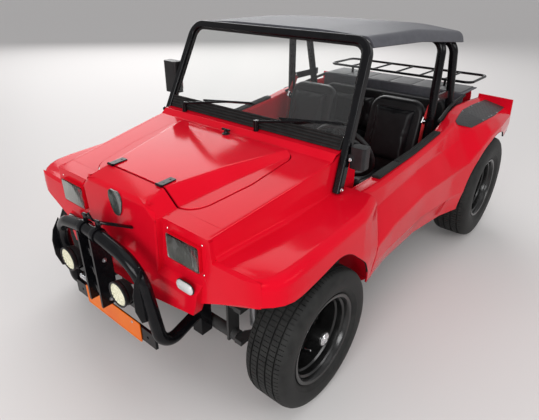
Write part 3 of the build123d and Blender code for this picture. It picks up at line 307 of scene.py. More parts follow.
def tyre(name, centre, radius, width):
    half = width / 2
    wall = [(half - inset, RIM_R + share * (radius - RIM_R)) for share, inset in SIDEWALL]
    tread = []
    for groove in reversed(GROOVES):
        middle = groove * half
        top = radius - CROWN_DROP * groove
        tread += [
            (middle + GROOVE_W / 2, top), (middle + GROOVE_W / 2 - GROOVE_DRAFT, top - GROOVE_DEPTH),
            (middle - GROOVE_W / 2 + GROOVE_DRAFT, top - GROOVE_DEPTH), (middle - GROOVE_W / 2, top),
        ]
    half_line = [(half - BEAD_IN, BEAD_R), *wall, *tread]
    line = half_line + [(-x, r) for x, r in reversed(half_line)] + half_line[:1]
    piece = drawn(name, [centre + Vector((x, 0, r)) for x, r in line])
    pitch = math.tau / TREAD_PITCHES
    for share in (CUT_SHARE, 1 - CUT_SHARE):
        bpy.ops.mesh.spin(steps=1, angle=pitch * share, center=centre, axis=(1, 0, 0))
    closed_up()

    def on_cut_rib(middle, normal):
        arm = middle - centre
        outer = math.hypot(arm.y, arm.z) > radius - RIB_DEPTH
        return outer and abs(normal.x) < 0.7 and abs(math.atan2(arm.y, arm.z)) < 0.9 * pitch * CUT_SHARE

    pick_faces(piece, on_cut_rib)
    bpy.ops.mesh.extrude_region_shrink_fatten(TRANSFORM_OT_shrink_fatten={"value": -CUT_DEPTH})
    bpy.ops.mesh.select_all(action="SELECT")
    rest = math.tau - pitch
    bpy.ops.mesh.spin(steps=TREAD_PITCHES - 1, dupli=True, angle=rest, center=centre, axis=(1, 0, 0))
    closed_up()
    return piece


def both(piece, material, node=None, body="chassis"):
    """Fits a left-hand piece and its mirrored twin, in place of a CAD node if one is named."""
    other = twin(piece, piece.name.replace("left", "right"), MIRRORED)
    for half, hand in ((piece, "left"), (other, "right")):
        fit(half, material, body.replace("left", hand))
        if node:
            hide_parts(node.replace("left", hand))


rubber = painted(
    "tyre_rubber", ((0.014, 0.014, 0.014), (0.026, 0.026, 0.025)), 26, (0.45, 0.68), (24, 0.3),
    Specular_IOR_Level=0.14,
)
for end, x, y, radius, width, *_ in WHEELS:
    casing = tyre(f"tread_{end}_left", at(x, y, radius), radius, width)
    both(casing, rubber, f"tyre_{end}_left", f"wheel_{end}_left")

# The wheels: pressed steel in gloss black, a stepped barrel welded to a dished disc with oval holes,
# a long hub nose with a bright slotted cap, five bright nuts and a valve.
SLOTS, SLOT_R = 8, 0.138
CAP_SLOTS = 6
NUTS, NUT_R = 5, 0.065


def turned(name, outline, centre, axis=(1, 0, 0), steps=64):
    """A lathe-turned piece: an outline of (along the axis, out from it) drawn beside the axis and spun."""
    axis = Vector(axis).normalized()
    out = axis.orthogonal().normalized()
    piece = drawn(name, [Vector(centre) + axis * along + out * away for along, away in outline])
    bpy.ops.mesh.spin(steps=steps, angle=math.tau, center=centre, axis=axis)
    closed_up()
    return piece


def round_about(many, start=0):
    """Angles evenly round a circle, the first one a share of a step on."""
    return [math.tau * (count + start) / many for count in range(many)]


def box(name, size, place):
    """A block at a size and place, the start of a piece."""
    bpy.ops.mesh.primitive_cube_add(size=1, location=place)
    piece = bpy.context.object
    piece.name = name
    piece.scale = size
    bpy.ops.object.transform_apply(location=True, rotation=True, scale=True)
    return piece


def joined(name, pieces):
    """Several meshes made one piece."""
    bpy.ops.object.select_all(action="DESELECT")
    for piece in pieces:
        piece.select_set(True)
    bpy.context.view_layer.objects.active = pieces[0]
    bpy.ops.object.join()
    pieces[0].name = name
    return pieces[0]


def cut_away(piece, tool):
    """Cuts a tool's shape out of a piece and throws the tool away."""
    worked(piece, "BOOLEAN", object=tool, solver="EXACT")
    bpy.data.objects.remove(tool)


def set_out(name, pattern, places):
    """Copies of one small part, each turned from +Z to a direction at its place, joined as one piece."""
    copies = []
    for count, (place, direction) in enumerate(places):
        turn = Vector(direction).to_track_quat("Z", "Y").to_matrix().to_4x4()
        copies.append(twin(pattern, f"{name}_{count}", Matrix.Translation(place) @ turn))
    bpy.data.objects.remove(pattern)
    return joined(name, copies)


def dome_nut(radius, height):
    """A nut with six flats on a washer, with a domed end, standing on the origin."""
    wide, thick = radius * 1.35, 0.0012
    washer = turned("washer", ((0, 0), (0, wide), (thick, wide), (thick, 0)), (0, 0, 0), (0, 0, 1), 20)
    tall = height * 0.6
    bpy.ops.mesh.primitive_cylinder_add(vertices=6, radius=radius, depth=tall, location=(0, 0, tall / 2))
    flats = bpy.context.object
    bpy.ops.object.transform_apply(location=True)
    mode("EDIT")
    pick_faces(flats, lambda middle, normal: normal.z > 0.9)
    for inset, lift in ((0.18, 0.16), (0.22, 0.14), (0.24, 0.1)):
        bpy.ops.mesh.inset(thickness=radius * inset, depth=height * lift)
    mode("OBJECT")
    return joined("dome_nut", [flats, washer])


def wheel(name, centre, rim_width, disc, nose):
    edge = rim_width / 2
    barrel = (
        (edge, 0.2015), (edge + 0.003, 0.203), (edge + 0.007, 0.2022), (edge + 0.0085, 0.1985),
        (edge + 0.006, 0.1875), (edge - 0.002, 0.1815), (edge - 0.016, 0.18), (edge - 0.022, 0.1715),
        (edge - 0.046, 0.1695), (edge - 0.053, 0.163), (disc - 0.034, 0.1605), (disc - 0.006, 0.152),
        (disc + 0.001, 0.144), (disc - 0.002, 0.118), (disc, 0.096), (disc + 0.01, 0.088),
        (disc + 0.012, 0.044), (disc + 0.022, 0.035), (nose - 0.01, 0.0325), (nose - 0.004, 0.03),
        (nose - 0.003, 0.0), (disc - 0.016, 0.0), (disc - 0.016, 0.14), (disc - 0.044, 0.156),
        (-edge - 0.004, 0.17), (-edge - 0.008, 0.198), (-edge - 0.004, 0.2025), (-edge, 0.201),
        (-edge + 0.004, 0.1855), (edge - 0.004, 0.1855), (edge, 0.2015),
    )
    piece = turned(name, barrel, centre, steps=96)
    holes = []
    for angle in round_about(SLOTS, 0.5):
        bpy.ops.mesh.primitive_cylinder_add(vertices=28, radius=0.013, depth=0.09)
        hole = bpy.context.object
        mode("EDIT")
        bpy.ops.transform.resize(value=(1, 1.75, 1))
        mode("OBJECT")
        spoke = Vector((0, math.sin(angle), math.cos(angle)))
        hole.data.transform(Matrix.Rotation(math.pi / 2, 4, "Y"))
        hole.data.transform(Matrix.Rotation(-angle, 4, "X"))
        hole.data.transform(Matrix.Translation(centre + spoke * SLOT_R + Vector((disc, 0, 0))))
        holes.append(hole)
    cut_away(piece, joined("holes", holes))
    return soften(piece, 0.0015, fold=42)


def hub_cap(name, centre, nose):
    """The bright cap on a hub nose, with a milled ring of slots and a boss in the middle."""
    piece = turned(
        name,
        ((nose - 0.012, 0), (nose - 0.012, 0.0275), (nose - 0.002, 0.0275), (nose, 0.0255), (nose, 0.019),
         (nose - 0.003, 0.0175), (nose - 0.003, 0.0105), (nose, 0.0085), (nose, 0)),
        centre, steps=48,
    )
    notches = []
    for angle in round_about(CAP_SLOTS):
        notch = box("notch", (0.006, 0.0055, 0.012), (nose, 0, 0.0255))
        notch.data.transform(Matrix.Translation(centre) @ Matrix.Rotation(angle, 4, "X"))
        notches.append(notch)
    cut_away(piece, joined("notches", notches))
    return soften(piece, 0.0006, fold=35)


wheel_black = painted(
    "wheel_black", ((0.005, 0.005, 0.005), (0.009, 0.009, 0.009)), 20, (0.16, 0.3), (20, 0.05)
)
bright = painted(
    "bright_plating", ((0.62, 0.62, 0.63), (0.74, 0.74, 0.75)), 30, (0.08, 0.2), (20, 0.04), Metallic=1.0
)
for end, x, y, radius, width, rim_width, disc, nose in WHEELS:
    centre = at(x, y, radius)
    body = f"wheel_{end}_left"
    rim = wheel(f"steel_wheel_{end}_left", centre, rim_width, disc, nose)
    cap = hub_cap(f"hub_cap_{end}_left", centre, nose)
    nuts = set_out(f"wheel_nuts_{end}_left", dome_nut(0.0095, 0.02), [
        (centre + Vector((disc + 0.0105, NUT_R * math.sin(angle), NUT_R * math.cos(angle))), (1, 0, 0))
        for angle in round_about(NUTS)
    ])
    valve = turned(
        f"valve_{end}_left",
        ((0, 0), (0, 0.006), (0.008, 0.0055), (0.024, 0.0035), (0.032, 0.004), (0.04, 0.004), (0.041, 0)),
        centre + Vector((disc + 0.001, 0.03, -0.152)), (1, 0, 0.35), 16,
    )
    both(rim, wheel_black, f"rim_{end}_left", body)
    for piece in (cap, nuts, valve):
        both(piece, bright, body=body)

# The body panels: laid-up fibreglass in bolted sections, polished red gelcoat with rounded folds.
red_gelcoat = painted(
    "red_gelcoat", ((0.6, 0.003, 0.014), (0.66, 0.005, 0.019)), 3, (0.08, 0.14), (60, 0.02), IOR=1.27,
    Specular_Tint=(1, 0.1, 0.12, 1),
)


def ease_edges(piece, wanted, radius, segments=5):
    """Rounds the edges of a piece whose middle and run pass a test."""
    hold(piece)
    mode("EDIT")
    bpy.ops.mesh.select_mode(type="EDGE")
    bpy.ops.mesh.select_all(action="DESELECT")
    mode("OBJECT")
    for edge in piece.data.edges:
        start, end = (piece.data.vertices[index].co for index in edge.vertices)
        edge.select = wanted((start + end) / 2, end - start)
    mode("EDIT")
    bpy.ops.mesh.bevel(offset=radius, segments=segments, affect="EDGES")
    mode("OBJECT")


def ease_nose(piece):
    """The moulded edges of the nose: its crown and the sides of the lamp bays."""
    face = -0.3735 + FRONT_AXLE_Y
    ease_edges(piece, lambda middle, run: middle.y < face and middle.z > 0.815, 0.018)

    def bay_side(middle, run):
        return middle.y < face and 0.21 < abs(middle.x) < 0.29 and abs(run.z) > 0.8 * run.length

    ease_edges(piece, bay_side, 0.009)


rounded("nose_panel", 0.0012, red_gelcoat, first=ease_nose)
for node, radius in (
    ("front_deck", 0.002), ("hood_lid", 0.003), ("front_wing_left", 0.0015), ("front_wing_right", 0.0015),
    ("front_compartment", 0.003), ("side_left", 0.0015), ("side_right", 0.0015), ("engine_lid", 0.003),
    ("dashboard", 0.006),
):
    body = {"hood_lid": "hood", "engine_lid": "engine_cover"}.get(node, "chassis")
    rounded(node, radius, red_gelcoat, body)

# Painted shade in the wheel arches: a thin matt black coat over the faces of the wings that look inward or down
# there, where the arches lie in shade.
COAT_T = 0.0012
underseal = painted(
    "underseal", ((0.008, 0.008, 0.008), (0.014, 0.014, 0.014)), 30, (0.75, 0.9), (12, 0.8),
    Specular_IOR_Level=0.1,
)


def shade_coated(node, name, wanted):
    """A thin black coat of painted shade on the faces of a panel whose middle and normal pass a test."""
    coat = twin(bpy.data.objects["made_" + node], name, Matrix.Identity(4))
    hold(coat)
    pick_faces(coat, lambda middle, normal: not wanted(middle, normal))
    bpy.ops.mesh.delete(type="FACE")
    mode("OBJECT")
    worked(coat, "SOLIDIFY", thickness=COAT_T, offset=1)
    return fit(coat, underseal)


# Each wing's inward- and downward-facing faces inside its arch are coated black as painted shade.
for side, hand in ((1, "left"), (-1, "right")):
    shade_coated(
        "front_wing_" + hand, "front_arch_painted_shade_" + hand,
        lambda middle, normal: normal.x * side < -0.25 or normal.z < -0.45,
    )
    shade_coated(
        "side_" + hand, "rear_arch_painted_shade_" + hand,
        lambda middle, normal: middle.y > 1.5 + FRONT_AXLE_Y and abs(middle.x) > 0.57
        and (normal.x * side < -0.25 or normal.z < -0.45),
    )

# The deck's edges: the joint between the deck and each wing is filled and rubbed down, so one soft red
# edge runs from the lamp to the screen post. It is drawn across once and drawn out along the edge.
EDGE_T = 0.001
EDGE_OVER = (
    # x out from the edge, height above it
    (-0.016, 0.0006), (-0.008, 0.0006), (-0.004, -0.0002), (-0.0012, -0.0026), (0.0008, -0.0066),
    (0.001, -0.018),
)
DECK_EDGE = (
    # y behind the front axle, half width, height
    (-0.33, 0.512, 0.83), (0.23, 0.569, 0.921), (0.296, 0.5706, 0.933),
)


def drawn_out(name, outline, stations):
    """A strip whose cross outline, (x, z) about each station, is drawn once and extruded through them."""
    first = Vector(stations[0])
    piece = drawn(name, [first + Vector((x, 0, z)) for x, z in outline])
    for here, there in zip(stations, stations[1:]):
        step = Vector(there) - Vector(here)
        bpy.ops.mesh.extrude_region_move(TRANSFORM_OT_translate={"value": step})
    bpy.ops.mesh.select_all(action="SELECT")
    bpy.ops.mesh.normals_make_consistent(inside=False)
    mode("OBJECT")
    return piece


edge = drawn_out("deck_edge_left", EDGE_OVER, [at(x, y, z) for y, x, z in DECK_EDGE])
both(worked(edge, "SOLIDIFY", thickness=EDGE_T, offset=-1), red_gelcoat)

# The bonnet hinges: two black cast straps, each held by two countersunk screws, pinned to the nose.
black_paint = painted(
    "black_paint", ((0.003, 0.003, 0.004), (0.006, 0.006, 0.007)), 20, (0.12, 0.22), (20, 0.05), IOR=1.26
)
rounded("hood_hinges", 0.002, black_paint, "hood")


def cross_screw(radius, height):
    """A round-headed screw with a crossed slot, standing on the origin."""
    head = turned("screw", (
        (0, 0), (0, radius), (height * 0.35, radius), (height * 0.75, radius * 0.78), (height, radius * 0.42),
        (height, 0),
    ), (0, 0, 0), (0, 0, 1), 20)
    for length, width in ((1.1, 0.24), (0.24, 1.1)):
        cut_away(head, box("arm", (length * radius, width * radius, height * 0.7), (0, 0, height)))
    return head


HINGE_X = 0.165
hinge_screws = [
    (at(side * HINGE_X, y, 0.9093 + (y + 0.272) * 0.0956), (0, -0.095, 1))
    for side in (1, -1) for y in (-0.255, -0.222)
]
fit(set_out("hinge_screws", cross_screw(0.0045, 0.002), hinge_screws), black_paint, "hood")

# The badge: a plain dark enamelled shield with a raised rim, screwed to the nose. It carries no mark.
SHIELD = (
    # x, height about the middle
    (0, 0.054), (0.019, 0.056), (0.034, 0.05), (0.043, 0.038), (0.046, 0.016), (0.04, -0.008),
    (0.033, -0.031), (0.018, -0.052), (0, -0.057),
)
BADGE = at(0, -0.3742, 0.815)
enamel = painted(
    "dark_enamel", ((0.02, 0.026, 0.024), (0.05, 0.058, 0.054)), 60, (0.12, 0.3), (20, 0.1), Coat_Weight=0.5
)


def sheet(name, corners, push):
    """A plate drawn round its corners, filled and pushed out to its thickness, left in edit mode."""
    piece = drawn(name, [*corners, corners[0]])
    bpy.ops.mesh.remove_doubles(threshold=TOUCHING)
    bpy.ops.mesh.edge_face_add()
    bpy.ops.mesh.extrude_region_move(TRANSFORM_OT_translate={"value": push})
    return piece


rim_points = [*SHIELD, *[(-x, z) for x, z in reversed(SHIELD[1:-1])]]
shield = sheet("nose_shield", [BADGE + Vector((x, 0, z)) for x, z in rim_points], (0, -0.006, 0))
bpy.ops.mesh.inset(thickness=0.004)
bpy.ops.transform.translate(value=(0, 0.002, 0))
closed_up()
fit(soften(shield, 0.001, 2, 40), enamel)

# The headlamps: a pressed reflector behind a flat ribbed glass, in a red moulded surround in each bay,
# held by four bright screws at the corners.
LAMP = at(0.382, -0.348, 0.731)
LAMP_W, LAMP_H, LAMP_T = 0.182, 0.112, 0.018
rubber_black = painted(
    "black_rubber", ((0.01, 0.01, 0.01), (0.02, 0.02, 0.02)), 30, (0.55, 0.75), (30, 0.3),
    Specular_IOR_Level=0.2,
)
mirror_metal = painted(
    "lamp_reflector", ((0.48, 0.49, 0.47), (0.62, 0.62, 0.6)), 18, (0.26, 0.4), (12, 0.03), Metallic=1.0
)
lamp_glass = painted(
    "lamp_glass", ((0.9, 0.92, 0.9), (0.94, 0.95, 0.94)), 8, (0.02, 0.06), (6, 0.05), Transmission_Weight=1.0,
    IOR=1.45,
)


def rounded_corners(piece, radius, segments=5):
    """Rounds the four edges of a block that run front to back."""
    ease_edges(piece, lambda middle, run: abs(run.y) > 0.9 * run.length, radius, segments)


def looks_ahead(middle, normal):
    """A test for faces that look to the front."""
    return normal.y < -0.9


lamp_frame = box("lamp_frame_left", (LAMP_W, LAMP_T, LAMP_H), LAMP - Vector((0, LAMP_T / 2, 0)))
rounded_corners(lamp_frame, 0.012)
pick_faces(lamp_frame, looks_ahead)
bpy.ops.mesh.inset(thickness=0.0035)
bpy.ops.transform.translate(value=(0, LAMP_T - 0.003, 0))
mode("OBJECT")
soften(lamp_frame, 0.001, 2, 50)

back = LAMP - Vector((0, LAMP_T - 0.004, 0))
bowl = box("lamp_reflector_left", (LAMP_W - 0.008, 0.001, LAMP_H - 0.008), back)
pick_faces(bowl, looks_ahead)
for inset, sink in ((0.004, 0.003), (0.01, 0.004), (0.014, 0.003)):
    bpy.ops.mesh.inset(thickness=inset)
    bpy.ops.transform.translate(value=(0, sink, 0))
mode("OBJECT")
bulb = turned(
    "lamp_bulb_left",
    ((0, 0), (0, 0.019), (0.002, 0.02), (0.005, 0.016), (0.009, 0.012), (0.0105, 0.006), (0.011, 0)),
    LAMP - Vector((0, 0.003, 0)), (0, -1, 0), 32,
)
front = LAMP - Vector((0, LAMP_T - 0.0015, 0))
pane = box("lamp_pane_left", (LAMP_W - 0.007, 0.003, LAMP_H - 0.007), front)
rounded_corners(pane, 0.01)
soften(pane, 0.0008, 2, 50)
RIBS = 9
ribs = []
for count in range(RIBS):
    x = (count + 0.5) / RIBS - 0.5
    bpy.ops.mesh.primitive_cylinder_add(vertices=12, radius=0.0014, depth=LAMP_H - 0.022)
    rib = bpy.context.object
    rib.data.transform(Matrix.Translation(LAMP + Vector((x * (LAMP_W - 0.02), -LAMP_T + 0.0035, 0))))
    ribs.append(rib)
lens_ribs = joined("lamp_ribs_left", ribs)
corners = [(sx * (LAMP_W / 2 + 0.004), sz * (LAMP_H / 2 + 0.007)) for sx in (1, -1) for sz in (1, -1)]
lamp_screws = set_out(
    "lamp_screws_left", cross_screw(0.0042, 0.003),
    [(LAMP + Vector((x, 0.0002, z)), (0, -1, 0)) for x, z in corners],
)
for piece, material, slot, node in (
    (lamp_frame, red_gelcoat, "body_red", "headlamps"), (bowl, mirror_metal, "steel", None),
    (bulb, mirror_metal, "steel", None), (pane, lamp_glass, "lamp_glass", None),
    (lens_ribs, lamp_glass, "lamp_glass", None), (lamp_screws, bright, "steel", None),
):
    both(piece, material, node)

# The turn signals: a clear oval lens over a white reflector, on a thin black gasket on the bay's ledge.
SIGNAL = at(0.398, -0.374, 0.594)
clear_lens = painted(
    "clear_lens", ((0.82, 0.82, 0.82), (0.92, 0.92, 0.92)), 60, (0.05, 0.14), (10, 0.4),
    Transmission_Weight=0.35, Coat_Weight=0.6,
)


def oval(name, length, width, layers):
    """A slot-shaped dome on the nose, built up from its gasket in layers of (how far in, how far out)."""
    bpy.ops.mesh.primitive_circle_add(vertices=40, radius=width / 2, fill_type="NGON")
    piece = bpy.context.object
    piece.name = name
    for corner in piece.data.vertices:
        corner.co.x += math.copysign((length - width) / 2, corner.co.x)
    piece.data.transform(Matrix.Rotation(math.pi / 2, 4, "X"))
    piece.data.transform(Matrix.Translation(SIGNAL))
    mode("EDIT")
    bpy.ops.mesh.select_mode(type="FACE")
    bpy.ops.mesh.select_all(action="SELECT")
    for inset, out in layers:
        if inset == 0:
            bpy.ops.mesh.extrude_region_move(TRANSFORM_OT_translate={"value": (0, -out, 0)})
        else:
            bpy.ops.mesh.inset(thickness=inset)
            bpy.ops.transform.translate(value=(0, -out, 0))
    closed_up()
    return piece


gasket = oval("signal_gasket_left", 0.096, 0.05, ((0, 0.003), (0.001, 0.001)))
dome = oval(
    "signal_lens_left", 0.091, 0.045,
    ((0, 0.007), (0.0015, 0.002), (0.003, 0.002), (0.005, 0.002), (0.006, 0.0015)),
)
both(gasket, rubber_black, "turn_signals")
both(dome, clear_lens, "turn_signals")

# The bull bar: bent steel tube in gloss black with flat plates welded across and a gusset on each leg,
# clamps and a hinge bracket at the crown, a strap to the nose and a shackle spring on the lamp bar.
BAR_TOP = at(0, -0.5, 0.738)
rounded("bull_bar", 0.0025, black_paint)


def strip_between(name, start, end, width, depth, up=(0, 0, 1)):
    """A flat bar from one point to another, its width level and its depth along up."""
    start, end = Vector(start), Vector(end)
    along = (end - start).normalized()
    wide = along.cross(Vector(up)).normalized()
    piece = box(name, (width, (end - start).length, depth), (0, 0, 0))
    turn = Matrix((wide, along, wide.cross(along))).transposed().to_4x4()
    piece.data.transform(Matrix.Translation((start + end) / 2) @ turn)
    return soften(piece, min(width, depth) * 0.25)


def rod(name, start, end, radius, sides=16):
    """A round bar from one point to another with its end edges eased."""
    start, end = Vector(start), Vector(end)
    ease = radius * 0.25
    length = (end - start).length
    outline = (
        (0, 0), (0, radius - ease), (ease, radius), (length - ease, radius), (length, radius - ease), (length, 0),
    )
    return turned(name, outline, start, end - start, sides)


clamps = []
for side in (1, -1):
    ring = turned(
        "clamp", ((-0.013, 0.0272), (-0.013, 0.0325), (0.013, 0.0325), (0.013, 0.0272), (-0.013, 0.0272)),
        BAR_TOP + Vector((side * 0.045, 0, 0)), steps=32,
    )
    ear = soften(box("ear", (0.026, 0.01, 0.034), BAR_TOP + Vector((side * 0.045, 0.01, 0.043))), 0.002)
    clamps += [soften(ring, 0.001, fold=50), ear]
clamps += [
    strip_between("strap", BAR_TOP + Vector((0.045, 0.012, 0.05)), at(0.098, -0.377, 0.738), 0.024, 0.005),
    rod("pin", BAR_TOP + Vector((-0.066, 0.01, 0.05)), BAR_TOP + Vector((0.07, 0.01, 0.05)), 0.005),
    rod("handle", BAR_TOP + Vector((0.02, 0.006, 0.05)), BAR_TOP + Vector((0.024, -0.01, 0.092)), 0.0045),
    soften(box("web", (0.08, 0.01, 0.29), at(0, -0.48, 0.562)), 0.002),
]
for z in (0.47, 0.56, 0.65):
    clamps.append(rod("barrel", at(-0.04, -0.502, z), at(0.04, -0.502, z), 0.015, 20))
    clamps.append(soften(box("knuckle", (0.026, 0.04, 0.036), at(0, -0.502, z)), 0.003))
fit(joined("bar_clamps", clamps), black_paint)

GUSSET_X, GUSSET_T = 0.295, 0.006
GUSSET = (
    # y from the front axle, height
    (-0.49, 0.69), (-0.524, 0.64), (-0.537, 0.592), (-0.537, 0.52), (-0.518, 0.455), (-0.474, 0.44),
)
gusset = sheet("bar_gusset_left", [at(GUSSET_X, y, z) for y, z in GUSSET], (GUSSET_T, 0, 0))
closed_up()
both(soften(gusset, 0.0012, 2, 40), black_paint)

COILS, COIL_STEP, COIL_R, WIRE_R = 6, 0.0095, 0.015, 0.0028
spring = []
for count in range(COILS):
    bpy.ops.mesh.primitive_torus_add(
        major_segments=24, minor_segments=8, major_radius=COIL_R, minor_radius=WIRE_R
    )
    coil = bpy.context.object
    coil.data.transform(Matrix.Rotation(math.radians(82), 4, "Y"))
    coil.data.transform(Matrix.Translation(at(-0.16 + COIL_STEP * count, -0.494, 0.452)))
    spring.append(coil)
spring.append(rod("core", at(-0.172, -0.494, 0.452), at(-0.1, -0.494, 0.452), 0.008))
for x in (-0.172, -0.102):
    spring.append(rod("lug", at(x, -0.494, 0.452), at(x, -0.474, 0.452), 0.007))
fit(joined("bar_spring", spring), bright)

bar_bolts = [(at(x, -0.472, z), (0, -1, 0)) for x in (-0.262, 0.262) for z in (0.455, 0.485)]
bar_bolts += [(at(side * 0.051, -0.494, z), (side, 0, 0)) for side in (1, -1) for z in (0.43, 0.62)]
fit(set_out("bar_bolts", dome_nut(0.0075, 0.01), bar_bolts), machined_steel)

# The spot lamps: finned black housings on the lamp bar, each with a cream lens over rings of small
# round emitters.
SPOT = at(0.186, -0.486, 0.542)
FINS = 5
EMITTERS = (
    # ring radius, how many
    (0.0135, 6), (0.0265, 12), (0.0395, 18),
)
black_plastic = painted(
    "black_plastic", ((0.01, 0.01, 0.011), (0.018, 0.018, 0.019)), 40, (0.35, 0.5), (40, 0.3),
    Specular_IOR_Level=0.25,
)
cream_lens = painted(
    "cream_lens", ((0.62, 0.6, 0.42), (0.82, 0.8, 0.62)), 90, (0.12, 0.3), (10, 0.2), Coat_Weight=0.5
)
fins = [(0, 0), (0, 0.03)]
for count in range(FINS):
    along = 0.003 + count * 0.0056
    tip = 0.046 + count * 0.0018
    fins += [(along, 0.036), (along, tip), (along + 0.003, tip), (along + 0.003, 0.036)]
fins += [
    (0.031, 0.04), (0.034, 0.0535), (0.048, 0.056), (0.051, 0.0552), (0.052, 0.053), (0.0515, 0.0492),
    (0.047, 0.0482), (0.046, 0),
]
housing = soften(turned("spot_housing_left", fins, SPOT, (0, -1, 0), 56), 0.0006, fold=50)
bracket = joined("spot_bracket_left", [
    soften(box("foot", (0.04, 0.012, 0.04), SPOT + Vector((0, 0.0075, -0.042))), 0.002),
    soften(box("arm", (0.04, 0.03, 0.008), SPOT + Vector((0, -0.008, -0.054))), 0.002),
])
lens_face = turned(
    "spot_lens_left", ((0.045, 0), (0.045, 0.0482), (0.0475, 0.0482), (0.0485, 0.044), (0.049, 0)), SPOT,
    (0, -1, 0), 48,
)
emitter_places = [(SPOT + Vector((0, -0.0482, 0)), (0, -1, 0))]
for ring_r, many in EMITTERS:
    for angle in round_about(many):
        out = Vector((ring_r * math.cos(angle), -0.0482, ring_r * math.sin(angle)))
        emitter_places.append((SPOT + out, (0, -1, 0)))
emitter = turned(
    "emitter", ((0, 0), (0, 0.0056), (0.0014, 0.0052), (0.0026, 0.0034), (0.003, 0)), (0, 0, 0), (0, 0, 1), 10
)
emitters = set_out("spot_emitters_left", emitter, emitter_places)
both(housing, black_plastic, "spot_lamps")
both(bracket, black_paint)
both(lens_face, cream_lens)
both(emitters, cream_lens)

# The number plate: a blank pressed sheet in orange with a raised border, on two bolts.
PLATE = at(0, -0.4723, 0.318)
orange_plate = painted(
    "orange_plate", ((0.68, 0.11, 0.001), (0.76, 0.17, 0.002)), 6, (0.25, 0.4), (40, 0.1), IOR=1.3
)
plate = box("blank_plate", (0.41, 0.004, 0.098), PLATE - Vector((0, 0.002, 0)))
rounded_corners(plate, 0.008, 4)
pick_faces(plate, looks_ahead)
bpy.ops.mesh.inset(thickness=0.005)
bpy.ops.mesh.inset(thickness=0.002)
bpy.ops.transform.translate(value=(0, 0.0015, 0))
mode("OBJECT")
fit(soften(plate, 0.0006, 2, 40), orange_plate)
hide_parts("number_plate")
plate_bolts = [(PLATE + Vector((x, -0.0025, 0.03)), (0, -1, 0)) for x in (-0.15, 0.15)]
fit(set_out("plate_bolts", cross_screw(0.006, 0.003), plate_bolts), bright)

# The windscreen: a black steel frame bolted to the cowl, the glass in a round rubber gasket and a
# ribbed rubber strip with a bead along its top that fills its foot.
SCREEN_UP = Vector((0, 0.4115, 0.9114))
STRIP_RISE, GLASS_TOP, GLASS_CORNER = 0.262, 0.6377, 0.052
clear_glass = painted(
    "clear_glass", ((0.93, 0.95, 0.94), (0.96, 0.97, 0.96)), 3, (0.01, 0.03), (2, 0.01), Transmission_Weight=1.0,
    IOR=1.45,
)
rounded("windshield_frame", 0.004, black_paint)
rounded("windshield_glass", 0.0005, clear_glass, smooth=5)
rounded("windshield_seal", 0.004, rubber_black)


def tube(name, points, radius, rings=2):
    """A round cord through points, laid as a path and turned into a mesh."""
    path = bpy.data.curves.new(name, "CURVE")
    path.dimensions = "3D"
    path.bevel_depth = radius
    path.bevel_resolution = rings
    path.use_fill_caps = True
    run = path.splines.new("POLY")
    run.points.add(len(points) - 1)
    for knot, point in zip(run.points, points):
        knot.co = (*point, 1)
    piece = bpy.data.objects.new(name, path)
    bpy.context.collection.objects.link(piece)
    hold(piece)
    bpy.ops.object.convert(target="MESH")
    return bpy.context.object


def glass_half(rise):
    """Half width of the glass at a height up the screen."""
    return 0.5856 - 0.0899 * rise


bend = [math.radians(angle) for angle in (0, 22, 45, 68, 90)]
half = [(glass_half(STRIP_RISE), STRIP_RISE)]
for angle in bend:
    x = glass_half(GLASS_TOP) - GLASS_CORNER * (1 - math.cos(angle))
    half.append((x, GLASS_TOP - GLASS_CORNER * (1 - math.sin(angle))))
around = half + [(-x, rise) for x, rise in reversed(half)]
gasket = tube("screen_gasket", [at(x, 0.318, 0.79) + SCREEN_UP * rise for x, rise in around], 0.007)
fit(gasket, rubber_black)
strip_ribs = []
for share in (-0.02, 0.2, 0.45, 0.7):
    y, z = 0.4042 - share * 0.0268, 1.0202 - share * 0.0542
    strip_ribs.append(rod("rib", at(-0.556, y - 0.001, z), at(0.556, y - 0.001, z), 0.0052, 12))
fit(joined("screen_ribs", strip_ribs), rubber_black)
feet = ((0.372, 0.941), (0.324, 0.816))
post_bolts = [(at(side * 0.6208, y, z), (side, 0, 0)) for side in (1, -1) for y, z in feet]
fit(set_out("post_bolts", dome_nut(0.008, 0.01), post_bolts), bright)

# The wipers: black arms on two spindles through the cowl, with a rubber-edged blade each.
rounded("wipers", 0.0015, black_paint)

# The bonnet catch: a black turn handle on a round base at the middle of the bonnet's rear edge.
skins = {}


def plumb(node, x, y, high=2):
    """Where a plumb line at a place in plan meets a CAD node, and the way that its face looks there."""
    if node not in skins:
        mesh = cad[node].data
        corners = [corner.co for corner in mesh.vertices]
        skins[node] = BVHTree.FromPolygons(corners, [face.vertices for face in mesh.polygons])
    place, facing, _, _ = skins[node].ray_cast(at(x, y, high), Vector((0, 0, -1)))
    return place, facing


place, facing = plumb("hood_lid", -0.012, 0.266)
catch = joined("bonnet_catch", [
    turned(
        "base", ((0, 0), (0, 0.02), (0.004, 0.019), (0.007, 0.012), (0.016, 0.008), (0.022, 0.009), (0.024, 0)),
        place, facing, 28,
    ),
    rod("handle", place + Vector((-0.026, 0, 0.021)), place + Vector((0.026, 0, 0.021)), 0.006),
])
fit(catch, black_paint, "hood")

# The mirrors: square black housings on short arms, each with a bright glass set in its rear face.
MIRROR_GLASS = (
    # x, y of the rear face, height, width, tall
    (-0.6469, 0.5102, 1.105, 0.086, 0.152), (0.6464, 0.4393, 0.948, 0.056, 0.076),
)
mirror_silver = painted(
    "mirror_silver", ((0.8, 0.82, 0.83), (0.86, 0.87, 0.88)), 5, (0.02, 0.05), (4, 0.01), Metallic=1.0
)
rounded("mirrors", 0.006, black_plastic)
for count, (x, y, z, wide, tall) in enumerate(MIRROR_GLASS):
    silver = box(f"mirror_glass_{count}", (wide, 0.003, tall), at(x, y + 0.0008, z))
    rounded_corners(silver, 0.01)
    fit(soften(silver, 0.0008, 2, 50), mirror_silver)

